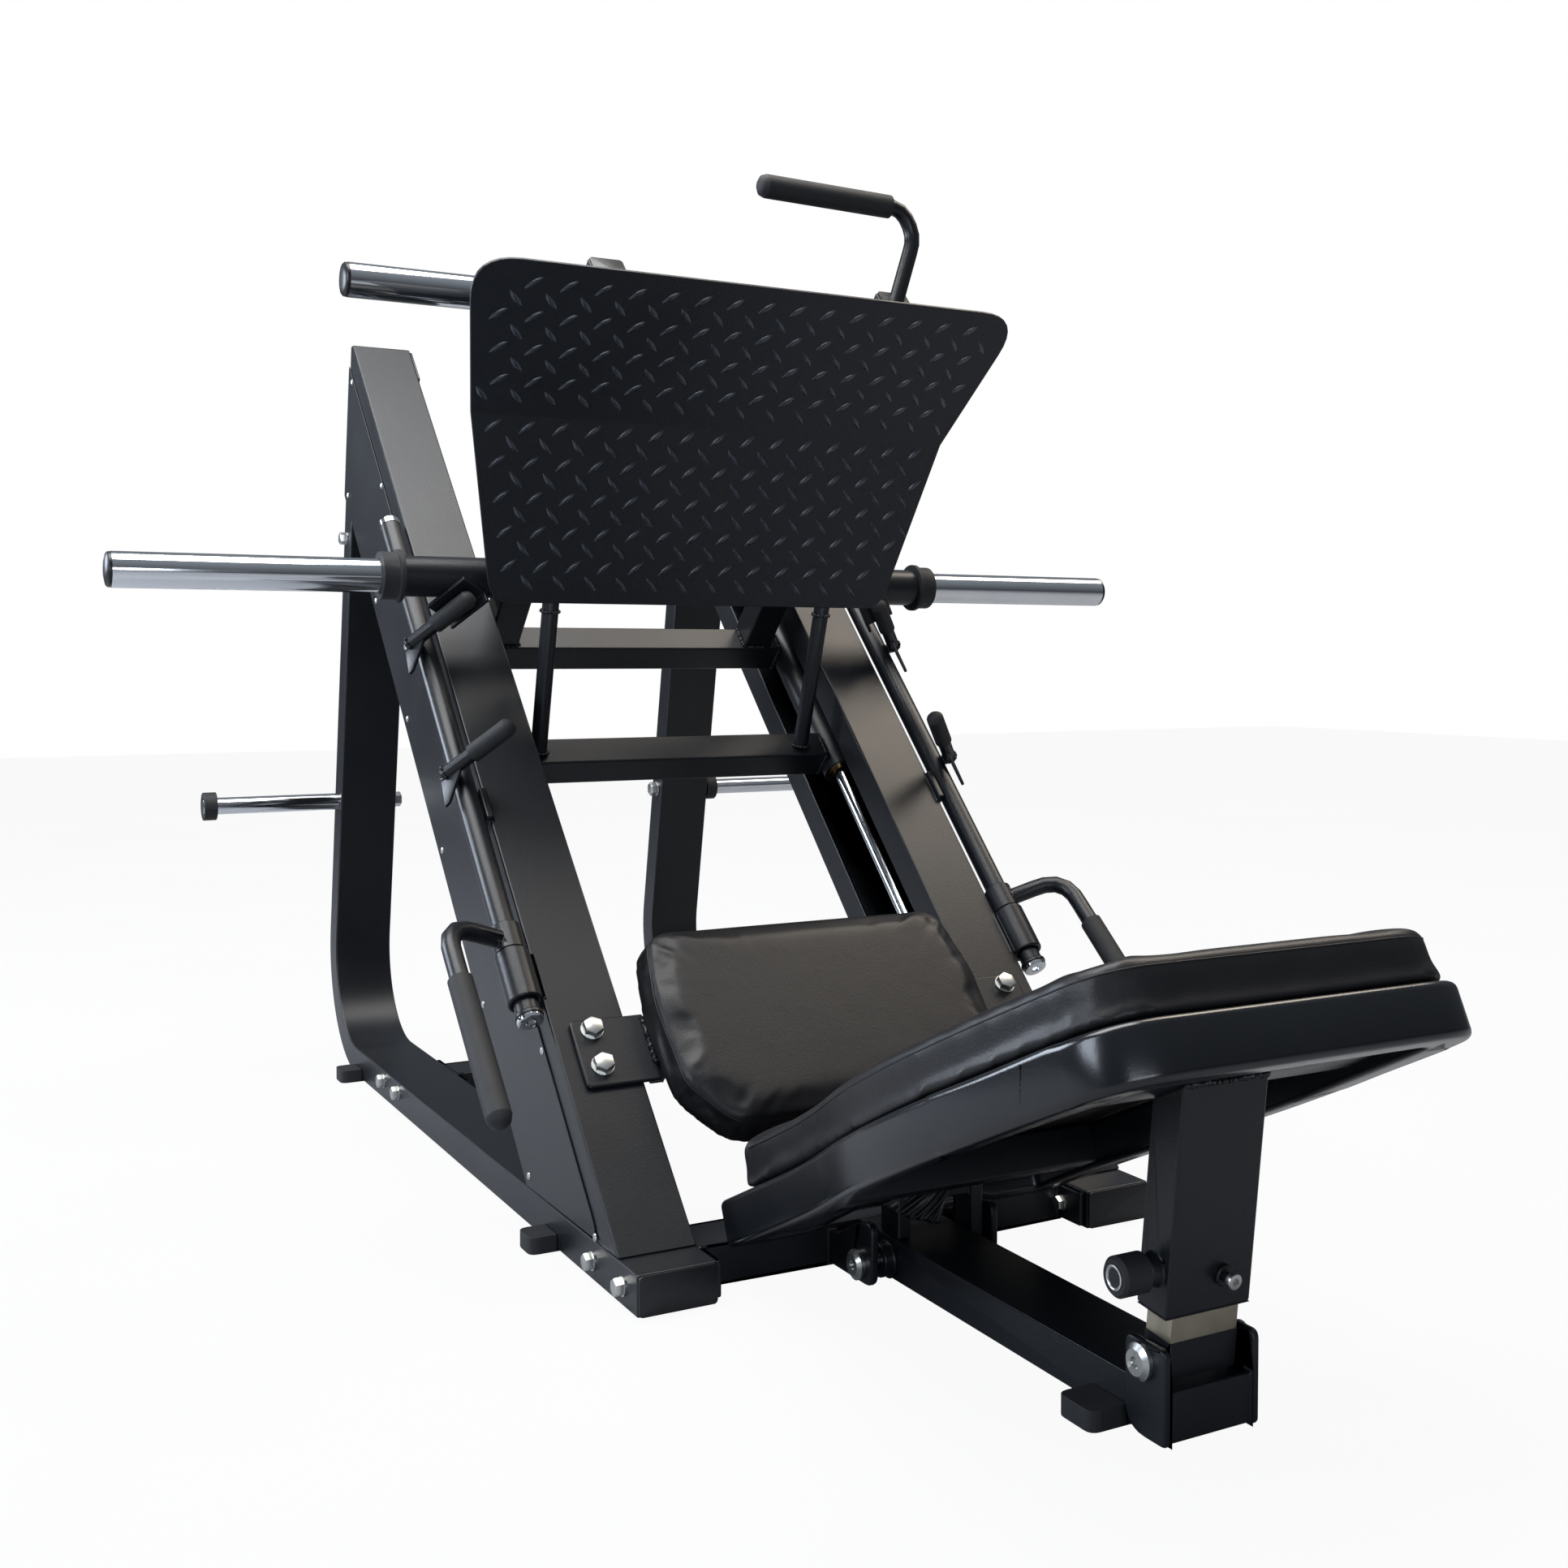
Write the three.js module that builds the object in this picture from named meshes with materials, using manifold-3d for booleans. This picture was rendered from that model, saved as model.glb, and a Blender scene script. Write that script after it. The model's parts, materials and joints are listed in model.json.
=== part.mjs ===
// Plate-loaded 45 degree leg press machine.
// Millimetres, +Z up. +Y runs from the lying end towards the tall rear posts, +X is the right side.
// The rails lean 45 degrees: on them S runs up the slope, N stands off it and X runs across.
import * as THREE from 'three';
import { mergeVertices } from 'three/addons/utils/BufferGeometryUtils.js';
import Module from 'manifold-3d';

const wasm = await Module();
wasm.setup();

// ---- Driving dimensions -------------------------------------------------------------------
const GAP = 0.3;                 // clearance between pieces that touch
const FLOOR_LIFT = 2;            // rubber under the tubes
const TUBE_W = 100;              // wide side of the main rectangular tube
const TUBE_H = 50;               // narrow side of it
const RAIL_IN = 266;             // inner and outer faces of each side frame, from the middle
const RAIL_OUT = RAIL_IN + TUBE_W;
const SLOPE = Math.PI / 4;
const SLOPE_LIFT = 4;            // height of the slope frame's own origin

const BEND_Y = 1332.6;           // centre of the rear bend of each base tube
const BEND_R = 200;
const POST_LEAN = THREE.MathUtils.degToRad(11.4);

const RAIL_TOP_N = -7;           // upper face of the rails, measured off the slope line
const BEAM_N = 52;               // depth of each rail beam
const RAIL_BOTTOM_N = -234;
const ROD_X = 298;
const ROD_N = -123;
const ROD_R = 14;

const HORN_S = 1134.5;           // axis of the main weight horns
const HORN_N = 92;
const HORN_R = 25;
const HORN_TIP_X = 834;
const HORN_ROOT_X = 465.5;
const CROSS_TUBE_R = 30;
const UPPER_HORN_S = 1437;
const UPPER_HORN_N = 387.5;
const UPPER_HORN_TIP_X = 514;

const LOWER_BAR_S = 929;         // front faces of the two sled crossbars
const UPPER_BAR_S = 1177;
const BAR = 50;
const BAR_TOP_N = -98;
const POST_IN_X = 201;

const LEVER_X = 389.5;           // axis of each safety lever
const LEVER_N = -8;
const LEVER_R = 16;
const PEG_S = [824.5, 1081];
const PEG_R = 10.5;
const PEG_SLEEVE_R = 13.5;

const BEAM_HALF = 50;            // back beam
const HEAD_Y = -559;             // outer face of the head bracket
const PIVOT_B = [-524, 78];      // lower pivot of the telescopic post, (y, z)
const PIVOT_A = [-20, 114];      // backrest hinge, (y, z)
const STAY_LEAN = THREE.MathUtils.degToRad(6.2);

const BACK_TILT = THREE.MathUtils.degToRad(25.4);
const BACK_Y = 44;               // seat end of the backrest frame's underside, (y, z)
const BACK_Z = 47;
const BACK_L = 828;
const BACK_RIM_H = 56;
const BACK_PAD_H = 62;

// ---- Materials ----------------------------------------------------------------------------
function finish(color, roughness, metalness) {
  return new THREE.MeshStandardMaterial({ color, roughness, metalness });
}
const blackPaint = finish(0x1b1d20, 0.5, 0.2);
const rubber = finish(0x1e1f21, 0.8, 0);
const vinyl = finish(0x17181a, 0.45, 0);
const chrome = finish(0xd8dadc, 0.12, 1);
const zinc = finish(0xc9cac6, 0.3, 1);
const bareSteel = finish(0xb4ad9c, 0.4, 1);
const bronze = finish(0x9a7b45, 0.4, 1);

// ---- Scene graph --------------------------------------------------------------------------
const machine = new THREE.Group();
const slope = new THREE.Group();
slope.position.z = SLOPE_LIFT;
slope.rotation.x = SLOPE;
machine.add(slope);
const back = new THREE.Group();
back.position.set(0, BACK_Y, BACK_Z);
back.rotation.set(-BACK_TILT, 0, Math.PI);
machine.add(back);

function place(parent, name, geometry, material) {
  const mesh = new THREE.Mesh(geometry, material);
  mesh.name = name;
  parent.add(mesh);
  return mesh;
}

// ---- Shape helpers ------------------------------------------------------------------------
function solidOf(geometry) {
  const bare = geometry.index ? geometry.toNonIndexed() : geometry.clone();
  bare.deleteAttribute('normal');
  bare.deleteAttribute('uv');
  const merged = mergeVertices(bare, 1e-3);
  const vertProperties = merged.attributes.position.array;
  return new wasm.Manifold(new wasm.Mesh({ numProp: 3, vertProperties, triVerts: new Uint32Array(merged.index.array) }));
}

function geometryOf(solid) {
  const { vertProperties, triVerts } = solid.getMesh();
  const geometry = new THREE.BufferGeometry();
  geometry.setAttribute('position', new THREE.BufferAttribute(vertProperties, 3));
  geometry.setIndex(new THREE.BufferAttribute(triVerts, 1));
  return geometry;
}

function join(...geometries) {
  return geometryOf(geometries.map(solidOf).reduce((a, b) => a.add(b)));
}

function cut(geometry, ...tools) {
  return geometryOf(tools.map(solidOf).reduce((a, b) => a.subtract(b), solidOf(geometry)));
}

// A block from its two corners.
function block(x0, x1, y0, y1, z0, z1) {
  const geometry = new THREE.BoxGeometry(Math.abs(x1 - x0), Math.abs(y1 - y0), Math.abs(z1 - z0));
  return geometry.translate((x0 + x1) / 2, (y0 + y1) / 2, (z0 + z1) / 2);
}

// A round bar between two points.
function bar(from, to, radius, sides = 24) {
  const a = new THREE.Vector3(...from);
  const b = new THREE.Vector3(...to);
  const geometry = new THREE.CylinderGeometry(radius, radius, a.distanceTo(b), sides);
  const along = b.clone().sub(a).normalize();
  geometry.applyQuaternion(new THREE.Quaternion().setFromUnitVectors(new THREE.Vector3(0, 1, 0), along));
  const middle = a.add(b).multiplyScalar(0.5);
  return geometry.translate(middle.x, middle.y, middle.z);
}

// A turned piece from its (radius, distance) outline, laid from one point towards another.
function turned(outline, from, towards, sides = 24) {
  const geometry = new THREE.LatheGeometry(outline.map(([r, d]) => new THREE.Vector2(r, d)), sides);
  const start = new THREE.Vector3(...from);
  const along = new THREE.Vector3(...towards).sub(start).normalize();
  geometry.applyQuaternion(new THREE.Quaternion().setFromUnitVectors(new THREE.Vector3(0, 1, 0), along));
  return geometry.translate(start.x, start.y, start.z);
}

// A closed outline whose corners are rounded, each point being [x, y, radius].
function rounded(points) {
  const shape = new THREE.Shape();
  const count = points.length;
  points.forEach(([x, y, radius = 0], i) => {
    const corner = new THREE.Vector2(x, y);
    const before = new THREE.Vector2(...points[(i + count - 1) % count].slice(0, 2)).sub(corner);
    const after = new THREE.Vector2(...points[(i + 1) % count].slice(0, 2)).sub(corner);
    const half = Math.abs(before.angleTo(after)) / 2;
    const trim = radius / Math.tan(half);
    const enter = before.setLength(trim).add(corner);
    const leave = after.setLength(trim).add(corner);
    if (i === 0) {
      shape.moveTo(enter.x, enter.y);
    } else {
      shape.lineTo(enter.x, enter.y);
    }
    if (radius > 0) {
      shape.quadraticCurveTo(x, y, leave.x, leave.y);
    }
  });
  shape.closePath();
  return shape;
}

// An outline drawn in (X, S) or (X, Y), given a thickness from low to high.
function sheet(shape, low, high, curveSegments = 6) {
  const geometry = new THREE.ExtrudeGeometry(shape, { depth: high - low, bevelEnabled: false, curveSegments });
  return geometry.translate(0, 0, low);
}

// An outline drawn in side view, given a width from x0 to x1.
const SIDE_VIEW = new THREE.Matrix4().makeBasis(
  new THREE.Vector3(0, 1, 0), new THREE.Vector3(0, 0, 1), new THREE.Vector3(1, 0, 0));
function profile(shape, x0, x1, curveSegments = 6) {
  const low = Math.min(x0, x1);
  const geometry = new THREE.ExtrudeGeometry(shape, { depth: Math.abs(x1 - x0), bevelEnabled: false, curveSegments });
  return geometry.applyMatrix4(SIDE_VIEW).translate(low, 0, 0);
}

// A round tube through points, its corners bent to a radius.
function bentTube(points, radius, bend, steps = 24, sides = 16) {
  const corners = points.map((p) => new THREE.Vector3(...p));
  const path = new THREE.CurvePath();
  let from = corners[0];
  for (let i = 1; i < corners.length - 1; i += 1) {
    const corner = corners[i];
    const enter = corners[i - 1].clone().sub(corner).setLength(bend).add(corner);
    const leave = corners[i + 1].clone().sub(corner).setLength(bend).add(corner);
    path.add(new THREE.LineCurve3(from, enter));
    path.add(new THREE.QuadraticBezierCurve3(enter, corner, leave));
    from = leave;
  }
  path.add(new THREE.LineCurve3(from, corners[corners.length - 1]));
  const section = new THREE.Shape().absarc(0, 0, radius, 0, 2 * Math.PI);
  return new THREE.ExtrudeGeometry(section, { steps, bevelEnabled: false, curveSegments: sides, extrudePath: path });
}

// The same shape on the other side of the middle plane.
function mirrored(geometry) {
  return geometryOf(solidOf(geometry).mirror([1, 0, 0]));
}

const SIDES = [['left', -1], ['right', 1]];

// ---- Base tubes with their rear posts -----------------------------------------------------
const base0 = FLOOR_LIFT;
const base1 = FLOOR_LIFT + TUBE_H;
const leanUp = new THREE.Vector2(-Math.sin(POST_LEAN), Math.cos(POST_LEAN));
const leanOut = new THREE.Vector2(Math.cos(POST_LEAN), Math.sin(POST_LEAN));
const bendCentre = new THREE.Vector2(BEND_Y, base0 + BEND_R);
const railUnder = (RAIL_TOP_N - BEAM_N - GAP) / Math.SQRT1_2 + SLOPE_LIFT;

// The point of a post's face, straight under the upper rail beam.
function postTop(radius) {
  const foot = bendCentre.clone().addScaledVector(leanOut, radius);
  const climb = (railUnder + foot.x - foot.y) / (leanUp.y - leanUp.x);
  return foot.addScaledVector(leanUp, climb);
}

function baseTube(side) {
  const outerTop = postTop(BEND_R);
  const innerTop = postTop(BEND_R - TUBE_H);
  const shape = new THREE.Shape();
  shape.moveTo(0, base0);
  shape.lineTo(BEND_Y, base0);
  shape.absarc(bendCentre.x, bendCentre.y, BEND_R, -Math.PI / 2, POST_LEAN, false);
  shape.lineTo(outerTop.x, outerTop.y);
  shape.lineTo(innerTop.x, innerTop.y);
  shape.absarc(bendCentre.x, bendCentre.y, BEND_R - TUBE_H, POST_LEAN, -Math.PI / 2, true);
  shape.lineTo(0, base1);
  shape.closePath();
  return profile(shape, side * RAIL_IN, side * RAIL_OUT, 12);
}

// ---- Rails: two beams tied by end blocks, with the guide rod between them -----------------
const baseLine = (n) => (base1 + GAP - SLOPE_LIFT) / Math.SQRT1_2 - n;

// S of a line parallel to the post's rear face, at a given distance in front of it.
function postLine(n, inFront) {
  const rear = postTop(BEND_R - inFront);
  const s0 = (rear.x + rear.y - SLOPE_LIFT) * Math.SQRT1_2;
  const n0 = (rear.y - SLOPE_LIFT - rear.x) * Math.SQRT1_2;
  const slopeOfLean = Math.tan(SLOPE - POST_LEAN);
  return s0 + (n - n0) * slopeOfLean;
}

const BEAM_BOTTOM_N = RAIL_TOP_N - BEAM_N;
const LOWER_TOP_N = RAIL_BOTTOM_N + BEAM_N;
const RAIL_CREST_S = 1837;

function rail(side) {
  const upper = rounded([
    [baseLine(RAIL_TOP_N), RAIL_TOP_N], [RAIL_CREST_S, RAIL_TOP_N],
    [RAIL_CREST_S + 9, RAIL_TOP_N - 9], [postLine(BEAM_BOTTOM_N, 0), BEAM_BOTTOM_N],
    [baseLine(BEAM_BOTTOM_N), BEAM_BOTTOM_N]]);
  const lower = rounded([
    [baseLine(LOWER_TOP_N), LOWER_TOP_N], [postLine(LOWER_TOP_N, TUBE_H) - 1, LOWER_TOP_N],
    [postLine(RAIL_BOTTOM_N, TUBE_H) - 1, RAIL_BOTTOM_N], [baseLine(RAIL_BOTTOM_N), RAIL_BOTTOM_N]]);
  const foot = rounded([
    [baseLine(BEAM_BOTTOM_N) + 4, BEAM_BOTTOM_N + 1], [baseLine(BEAM_BOTTOM_N) + 130, BEAM_BOTTOM_N + 1],
    [baseLine(BEAM_BOTTOM_N) + 130, LOWER_TOP_N - 1], [baseLine(LOWER_TOP_N) + 4, LOWER_TOP_N - 1]]);
  const head = rounded([
    [1600, BEAM_BOTTOM_N + 1], [1700, BEAM_BOTTOM_N + 1], [1666, LOWER_TOP_N - 1], [1600, LOWER_TOP_N - 1]]);
  const [inside, outside] = [side * RAIL_IN, side * RAIL_OUT];
  const rodBore = bar([side * ROD_X, 150, ROD_N], [side * ROD_X, 1750, ROD_N], ROD_R + GAP + 0.2, 32);
  const leverRest = block(outside - side * 4, side * (LEVER_X - LEVER_R - 0.4), 745, 800, -40, LEVER_N + 10);
  const at = (s) => [side * LEVER_X, s, LEVER_N];
  const housing = bar(at(441), at(519), 23, 24);
  const web = block(outside - side * 4, side * (LEVER_X - 6), 446, 514, -38, LEVER_N + 2);
  const leverBore = bar(at(430), at(530), LEVER_R + 2 * GAP, 24);
  return cut(
    join(profile(upper, inside, outside), profile(lower, inside, outside),
      profile(foot, side * (RAIL_IN + 4), outside), profile(head, side * (RAIL_IN + 4), outside),
      leverRest, web, housing),
    rodBore, leverBore);
}

function railCover(side) {
  const top = RAIL_TOP_N - 38;
  const shape = rounded([
    [baseLine(top) + 6, top, 14], [postLine(top, 0), top],
    [postLine(RAIL_BOTTOM_N, 0), RAIL_BOTTOM_N], [baseLine(RAIL_BOTTOM_N) + 4, RAIL_BOTTOM_N]]);
  const cover = profile(shape, side * (RAIL_OUT + GAP), side * (RAIL_OUT + GAP + 2));
  const restSlot = block(side * RAIL_OUT, side * (RAIL_OUT + 5), 743, 802, -60, LEVER_N + 20);
  return top > -40 ? cut(cover, restSlot) : cover;
}

// ---- Cross members, feet and storage pins -------------------------------------------------
function crossMember(y0, y1, flangeReach) {
  const reach = RAIL_IN - GAP;
  const flanges = SIDES.map(([, side]) => block(
    side * (reach - 8), side * reach, y0 - flangeReach, y1 + flangeReach, base0 + 3, base1 - 2));
  return join(block(-reach + 1, reach - 1, y0, y1, base0, base1), ...flanges);
}

const CHEEK_X = [80, 90];
const CLEVIS_Y = -20;
const CLEVIS_Z = 24;

function frontCrossMember() {
  const cheek = rounded([[-53, 3, 18], [60, 3], [60, 44], [36, 46], [-14, 72, 20], [-53, 85, 16]]);
  const cheeks = SIDES.map(([, side]) => profile(cheek, side * CHEEK_X[0], side * CHEEK_X[1]));
  const bore = bar([-120, CLEVIS_Y, CLEVIS_Z], [120, CLEVIS_Y, CLEVIS_Z], 8.6);
  return cut(join(crossMember(54, 134, 48), ...cheeks), bore);
}

// A rubber foot that wraps the outer bottom edge of a tube.
function foot(side, face, y0, y1, reach) {
  const shape = rounded([[y0, face, 0], [y1, face, 0], [y1, face + reach, 12], [y0, face + reach, 12]]);
  const swap = new THREE.Matrix4().makeBasis(
    new THREE.Vector3(0, 1, 0), new THREE.Vector3(side, 0, 0), new THREE.Vector3(0, 0, -side));
  const lug = new THREE.ExtrudeGeometry(shape, { depth: 22, bevelEnabled: false, curveSegments: 4 });
  lug.applyMatrix4(swap);
  lug.translate(0, 0, side > 0 ? 22 : 0);
  const pad = block(side * (face - 60), side * (face + 4), y0, y1, 0, base0 - GAP);
  return join(lug, pad);
}

const STORAGE_Y = 1455;
const STORAGE_Z = 486;
const STORAGE_R = 15;

function storagePin(side) {
  const outline = [[0, 0], [STORAGE_R, 0], [STORAGE_R, 232], [STORAGE_R - 3, 235], [0, 235]];
  const from = side * (RAIL_OUT + GAP);
  return turned(outline, [from, STORAGE_Y, STORAGE_Z], [from + side, STORAGE_Y, STORAGE_Z]);
}

function storageRing(side) {
  const start = side < 0 ? 213 : 2;
  const outline = [[STORAGE_R + GAP, 0], [25, 0], [25, 22], [STORAGE_R + GAP, 22], [STORAGE_R + GAP, 0]];
  const from = side * (RAIL_OUT + GAP + start);
  return turned(outline, [from, STORAGE_Y, STORAGE_Z], [from + side, STORAGE_Y, STORAGE_Z]);
}

// ---- Back beam, head bracket and pivots ---------------------------------------------------
function backBeam() {
  const beam = block(-BEAM_HALF, BEAM_HALF, HEAD_Y + 12, 53.5, base0, base1);
  const boss = [-BEAM_HALF - 15, BEAM_HALF + 5].map((reach) => bar(
    [Math.sign(reach) * (BEAM_HALF - 1), CLEVIS_Y, CLEVIS_Z], [reach, CLEVIS_Y, CLEVIS_Z], 21));
  const bore = bar([-80, CLEVIS_Y, CLEVIS_Z], [80, CLEVIS_Y, CLEVIS_Z], 8.6);
  return cut(join(beam, ...boss), bore);
}

function headBracket() {
  const plate = rounded([[HEAD_Y, 4, 6], [HEAD_Y + 62, 4, 30], [HEAD_Y + 62, 98, 10], [HEAD_Y, 98, 10]]);
  const plates = SIDES.map(([, side]) => profile(plate, side * (BEAM_HALF + GAP), side * (BEAM_HALF + 9)));
  const front = block(-BEAM_HALF - 2, BEAM_HALF + 2, HEAD_Y + 2, HEAD_Y + 11, 6, 56);
  const bore = bar([-80, ...PIVOT_B], [80, ...PIVOT_B], 8.6);
  return cut(join(...plates, front), bore);
}

// A round-headed pivot bolt across the machine at (y, z), with a socket in its left head.
function pivotBolt(y, z, reach) {
  const head = 18.5;
  const outline = [
    [0, 3], [6, 3], [6, 0], [13, 0], [head, 4], [head, 9], [8, 9], [8, 2 * reach + 9],
    [head - 2, 2 * reach + 9], [head - 2, 2 * reach + 16], [0, 2 * reach + 16]];
  return turned(outline, [-reach - 9, y, z], [0, y, z]);
}

// The legs and tie that carry the backrest hinge: the right leg hangs on the front pivot bolt and
// the left one stands on the beam.
function hingeStand() {
  const low = base1 + GAP;
  const outer = profile(rounded([[-44, 8, 12], [0, 8, 12], [0, 114, 10], [-44, 132, 12]]), 56, 74);
  const inner = profile(rounded([[-44, low], [0, low], [0, 114, 10], [-44, 132, 12]]), -48, -30);
  const tie = block(-40, 60, -40, -4, 92, 112);
  const stub = bar([-88, ...PIVOT_A], [88, ...PIVOT_A], 10);
  const bore = bar([-120, CLEVIS_Y, CLEVIS_Z], [120, CLEVIS_Y, CLEVIS_Z], 8.6);
  return cut(join(outer, inner, tie, stub), bore);
}

// ---- Seat ---------------------------------------------------------------------------------
function seatCarrier() {
  const plates = SIDES.map(([, side]) => {
    const [a, b] = [side * 243, side * 344];
    const shape = rounded([[a, 303, 3], [b, 303, 8], [b, 403, 8], [a, 403, 3]]);
    return sheet(shape, RAIL_TOP_N + GAP, 0);
  });
  const lugs = SIDES.map(([, side]) => block(side * 226, side * 246, 320, 388, -41, -0.2));
  return join(...plates, ...lugs, block(-230, 230, 324, 384, -40, -0.4));
}

function seatPad() {
  const shape = rounded([
    [-192, 190, 60], [192, 190, 60], [246, 262, 60], [252, 390, 200], [234, 507, 48],
    [-234, 507, 48], [-252, 390, 200], [-246, 262, 60]]);
  return sheet(shape, 1, 56, 4);
}

// ---- Sled ---------------------------------------------------------------------------------
function crossbar(frontS) {
  const ends = ROD_X - CROSS_TUBE_R - GAP;
  return block(-ends, ends, frontS, frontS + BAR, BAR_TOP_N - BAR, BAR_TOP_N);
}

const SLEEVE_R = 24;
const BEARING_S = [912, 1246];

function bearingTube(side) {
  const outline = [
    [SLEEVE_R + GAP, 0], [CROSS_TUBE_R, 0], [CROSS_TUBE_R, BEARING_S[1] - BEARING_S[0]],
    [SLEEVE_R + GAP, BEARING_S[1] - BEARING_S[0]], [SLEEVE_R + GAP, 0]];
  return turned(outline, [side * ROD_X, BEARING_S[0], ROD_N], [side * ROD_X, BEARING_S[1], ROD_N]);
}

function bearingSleeve(side) {
  const bore = ROD_R + GAP + 0.3;
  const length = BEARING_S[1] - BEARING_S[0] - 8;
  const outline = [[bore, 0], [SLEEVE_R - GAP, 0], [SLEEVE_R - GAP, length], [bore, length], [bore, 0]];
  return turned(outline, [side * ROD_X, BEARING_S[0] + 4, ROD_N], [side * ROD_X, BEARING_S[1], ROD_N]);
}

// Footplate: a folded sheet, trimmed to its tapered outline.
const PLATE = 5;
const FOLD = [1162.5, 375];
const PLATE_LOW = [1048, 123];
const PLATE_HIGH = [1176, 617];

function footplate() {
  const back0 = [PLATE_LOW[0] + PLATE * 0.91, PLATE_LOW[1] - PLATE * 0.41];
  const back1 = [FOLD[0] + PLATE, FOLD[1] - PLATE * 0.24];
  const back2 = [PLATE_HIGH[0] + PLATE, PLATE_HIGH[1]];
  const bent = profile(rounded([PLATE_LOW, FOLD, PLATE_HIGH, back2, back1, back0]), -460, 460);
  const outline = rounded([
    [-326, 121, 42], [326, 121, 42], [382, 375, 6], [430, 617, 58], [-430, 617, 58], [-382, 375, 6]]);
  const trim = sheet(outline, 0, 400, 8);
  trim.applyMatrix4(new THREE.Matrix4().makeBasis(
    new THREE.Vector3(1, 0, 0), new THREE.Vector3(0, 0, 1), new THREE.Vector3(0, -1, 0)));
  trim.translate(0, 1320, 0);
  return geometryOf(solidOf(bent).intersect(solidOf(trim)));
}

const POST_S = [1182, 1232];
const POST_TOP_N = 596;

function sledPost(side) {
  const [a, b] = [side * POST_IN_X, side * (POST_IN_X + BAR)];
  const upright = block(a, b, ...POST_S, BAR_TOP_N + GAP, POST_TOP_N);
  const arm = block(a, b, POST_S[1] - 1, UPPER_HORN_S + 34, UPPER_HORN_N - 34, UPPER_HORN_N + 34);
  const saddle = block(a + side * 8, b - side * 8, HORN_S + 24, POST_S[0] + 1, HORN_N - 34, HORN_N + 34);
  const hornBore = bar([0, UPPER_HORN_S, UPPER_HORN_N], [side * 400, UPPER_HORN_S, UPPER_HORN_N], HORN_R + GAP, 32);
  const crossBore = bar([0, HORN_S, HORN_N], [side * 400, HORN_S, HORN_N], CROSS_TUBE_R + GAP, 32);
  return cut(join(upright, arm, saddle), hornBore, crossBore);
}

function strut(side) {
  const clear = new THREE.Vector2(FOLD[0] - PLATE_LOW[0], FOLD[1] - PLATE_LOW[1]).normalize();
  const rod = bar([side * 225, 951, BAR_TOP_N + GAP], [side * 229, 1083, 152], 12.5, 20);
  const flat = block(side * 190, side * 260, 900, 1000, BAR_TOP_N - 40, BAR_TOP_N + GAP);
  const front = rounded([
    [PLATE_LOW[0] - 300, PLATE_LOW[1]], [PLATE_LOW[0] + 5.4, PLATE_LOW[1] - 3],
    [PLATE_LOW[0] + 5.4 + clear.x * 200, PLATE_LOW[1] - 3 + clear.y * 200], [PLATE_LOW[0] - 300, 400]]);
  return cut(rod, flat, profile(front, side * 180, side * 280));
}

// Black cross tube between the main horns, with the angle catches that rest over the pegs.
const PEG_ROOT = [417, 2];
const PEG_TIP = [340.5, 106];

function hornTube() {
  return bar([-434, HORN_S, HORN_N], [434, HORN_S, HORN_N], CROSS_TUBE_R, 32);
}

// Angle under the cross tube that comes down over an upper peg when the sled is parked.
function hornCatch(side) {
  const low = PEG_S[1] + PEG_SLEEVE_R + 4;
  const high = HORN_S - CROSS_TUBE_R - GAP;
  const angle = rounded([[-30, low - 16], [-25, low - 16], [-25, low], [20, low], [20, high], [-30, high]]);
  const run = new THREE.Vector2(PEG_TIP[0] - PEG_ROOT[0], PEG_TIP[1] - PEG_ROOT[1]).normalize();
  const across = new THREE.Vector3(run.y, 0, -run.x);
  const along = new THREE.Vector3(run.x, 0, run.y);
  const swing = new THREE.Matrix4().makeBasis(across, new THREE.Vector3(0, 1, 0), along);
  swing.setPosition(PEG_ROOT[0], 0, PEG_ROOT[1]);
  const made = geometryOf(solidOf(sheet(angle, 62, 134).applyMatrix4(swing)));
  return side > 0 ? made : mirrored(made);
}

function hornCollar(side) {
  const inner = HORN_R + GAP;
  const outline = [
    [inner, 0], [39, 0], [39, 7], [35, 8], [35, 31], [inner, 31], [inner, 0]];
  return turned(outline, [side * (434 + GAP), HORN_S, HORN_N], [side * 500, HORN_S, HORN_N], 32);
}

function mainHorn(side) {
  const length = HORN_TIP_X - 434 - 2 * GAP;
  const outline = [[0, 0], [HORN_R, 0], [HORN_R, length - 3], [HORN_R - 3, length], [0, length]];
  return turned(outline, [side * (434 + GAP), HORN_S, HORN_N], [side * 500, HORN_S, HORN_N], 32);
}

function upperHorn() {
  const tip = UPPER_HORN_TIP_X;
  const outline = [[0, 0], [HORN_R - 3, 0], [HORN_R, 3], [HORN_R, 2 * tip - 3], [HORN_R - 3, 2 * tip], [0, 2 * tip]];
  return turned(outline, [-tip, UPPER_HORN_S, UPPER_HORN_N], [tip, UPPER_HORN_S, UPPER_HORN_N], 32);
}

// Push handle that climbs from the right post and turns in over the plate, in (x, y, z).
const HANDLE = [[222, 436, 1262], [268, 450, 1386], [246, 450, 1425], [17, 450, 1429]];

function pushHandle() {
  const postTopSide = block(150, 300, 1100, 1300, 400, POST_TOP_N + GAP);
  postTopSide.rotateX(SLOPE);
  postTopSide.translate(0, 0, SLOPE_LIFT);
  return cut(bentTube(HANDLE, 11.5, 20, 30, 16), postTopSide);
}

// Rubber grip over the straight end of the push handle.
function pushGrip() {
  const inner = 11.5 + GAP;
  const outline = [
    [inner, 0], [17, 0], [17, 205], [14.5, 212], [8, 216], [0, 217], [0, 209], [inner, 209], [inner, 0]];
  return turned(outline, [224, 450, 1425.4], HANDLE[3], 24);
}

// ---- Safety levers ------------------------------------------------------------------------
const LEVER_S = [424, 1356];

// A point (x, s, n) of a lever, on the given side.
const atSide = (side, x, s, n) => [side * x, s, n];

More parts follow.
